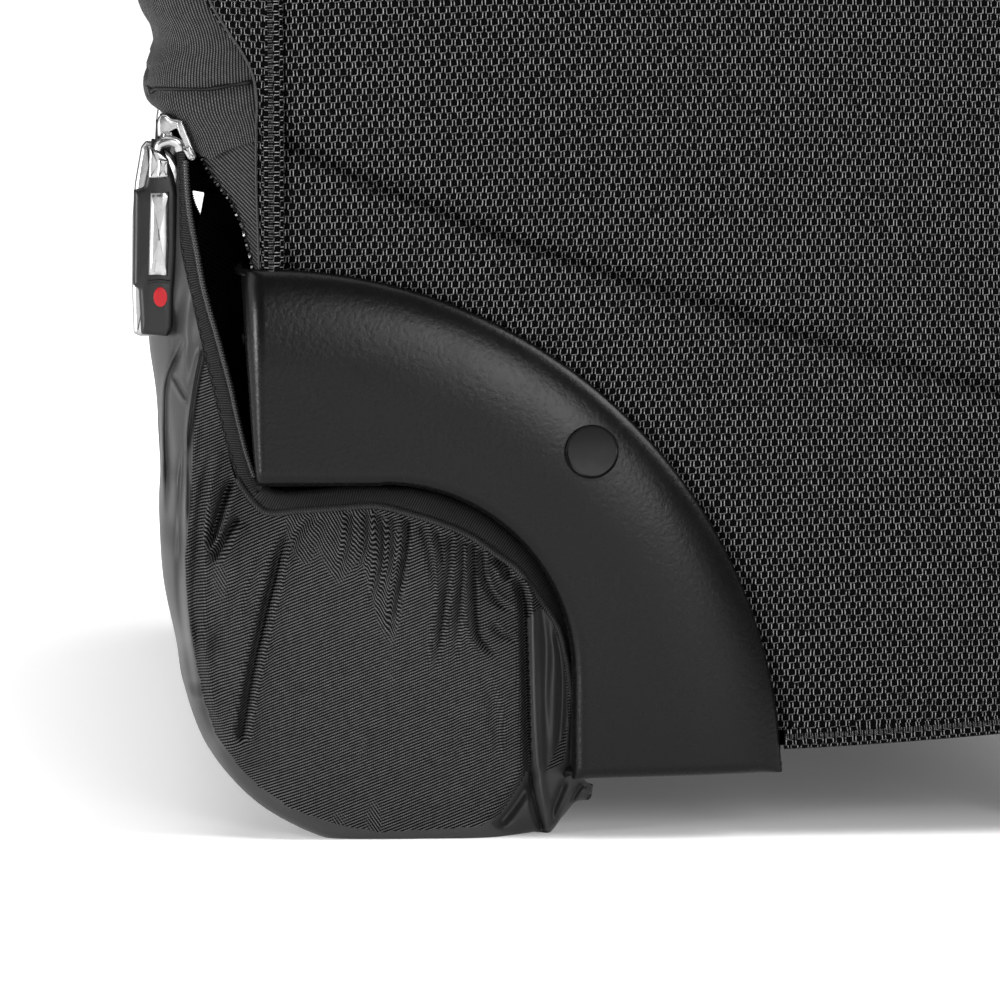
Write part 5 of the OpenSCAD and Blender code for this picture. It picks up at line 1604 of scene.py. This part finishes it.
grip_o = join("carry_grip", [grip, gseam] + gst)
place(grip_o, "carry_handle", "ballistic_nylon", "handle_grip")
webs = []
for s in (-1, 1):
    loopw = [(s * 79.0, 12 + 3.9 * math.sin(a), 376 - 3.9 * math.cos(a))
             for a in np.radians(np.linspace(-150, 150, 30))]
    path = [(s * 79.0, 11.0, z) for z in np.linspace(397.5, 381, 8)] + loopw + [(s * 79.0, 13.0, z)
            for z in np.linspace(381, 397.5, 8)]
    w = sweep("web", spline(path, 90), np.array([(-12.2, -0.55), (12.2, -0.55), (12.2, 0.55),
                                                 (-12.2, 0.55)]), M_TAPE_RIB, up=(1, 0, 0), smooth=30)
    webs.append(w)
    for nm, y, out in (("wb", 10.2, -1), ("wb2", 13.8, 1)):
        line = [(s * 79.0 + x, y, 389 + 0.01 * x) for x in np.linspace(-9, 9, 20)]
        webs.append(stitches(nm, line, 2.0, 1.0, 0.3, M_STITCH, up=(0, out, 0)))
place(join("carry_webbing", webs), "carry_handle", "tape", "handle_straps")

# laptop sleeve inside
sx, sz = np.linspace(-202.5, 202.5, 160), np.linspace(80, 330, 120)
SX, SZ = np.meshgrid(sx, sz, indexing="ij")
fade_e = np.clip((202.5 - np.abs(SX)) / 30, 0, 1) * np.clip((SZ - 80) / 30, 0, 1)
SY = 31.2 - 1.6 * fade_e + 0.5 * soft(SX, SZ)
SY = np.where(np.abs(SX) > 198, 31 + (np.abs(SX) - 198) * 2.2, SY)
slv = grid("sleeve_front", np.stack([SX, SY, SZ], -1), M_LINING, uv=np.stack([SX, SZ], -1), smooth=180,
           thick=4.0)
BX = np.linspace(-209, 209, 60)[:, None] + np.zeros((1, 40))
BZ = np.zeros((60, 1)) + np.linspace(80, 351, 40)[None]
bk = grid("sleeve_back", np.stack([BX, 66.5 + 0.5 * np.sin(BX / 20.0), BZ], -1), M_LINING, smooth=180,
          thick=3.0)
bind = sweep("sleeve_binding", [(x, 32.8, 330.5) for x in np.linspace(-201, 201, 60)],
             ring(2.6, 12, 1.3, 1.0), M_TAPE_RIB, up=(0, 0, 1))
walls_ = []
for s in (-1, 1):
    walls_.append(grid("sw", np.array([[(s * 202.6, y, z) for z in np.linspace(80, 330, 20)]
                                       for y in np.linspace(33, 66, 10)]), M_LINING, smooth=180, thick=2.0,
                       offset=0))
walls_.append(grid("sb_", np.array([[(x, y, 80.5) for x in np.linspace(-202, 202, 40)]
                                    for y in np.linspace(32, 66, 8)]), M_LINING, smooth=180, thick=2.0,
                   offset=0))
sleeve_o = join("sleeve_fabric", [slv, bk, bind] + walls_)
place(sleeve_o, "case", "lining", "laptop_sleeve")


# ---------------------------------------------------------------- finishes of the CAD parts that stay as
# they are
FINISHES = [(M_ALU, ["mid_tubes", "inner_tubes", "trolley_outer_tubes"]),
            (M_TYRE, ["tyre_left", "tyre_right"]), (M_GREY, ["hub_left", "hub_right"]),
            (M_STEEL, ["bearings_left", "bearings_right", "axle_bolts", "axle_nuts", "base_screws",
                       "button_spring", "push_rods", "lock_pin_left", "lock_pin_right"]),
            (M_BUTTON, ["grip_button"]), ]
finish_of = {name: mat for mat, names in FINISHES for name in names}
for name, o in nodes.items():
    mat = finish_of.get(name, M_SHELL)
    if not o.data.materials:
        o.data.materials.append(mat)
    for k in range(len(o.data.materials)):
        o.data.materials[k] = mat
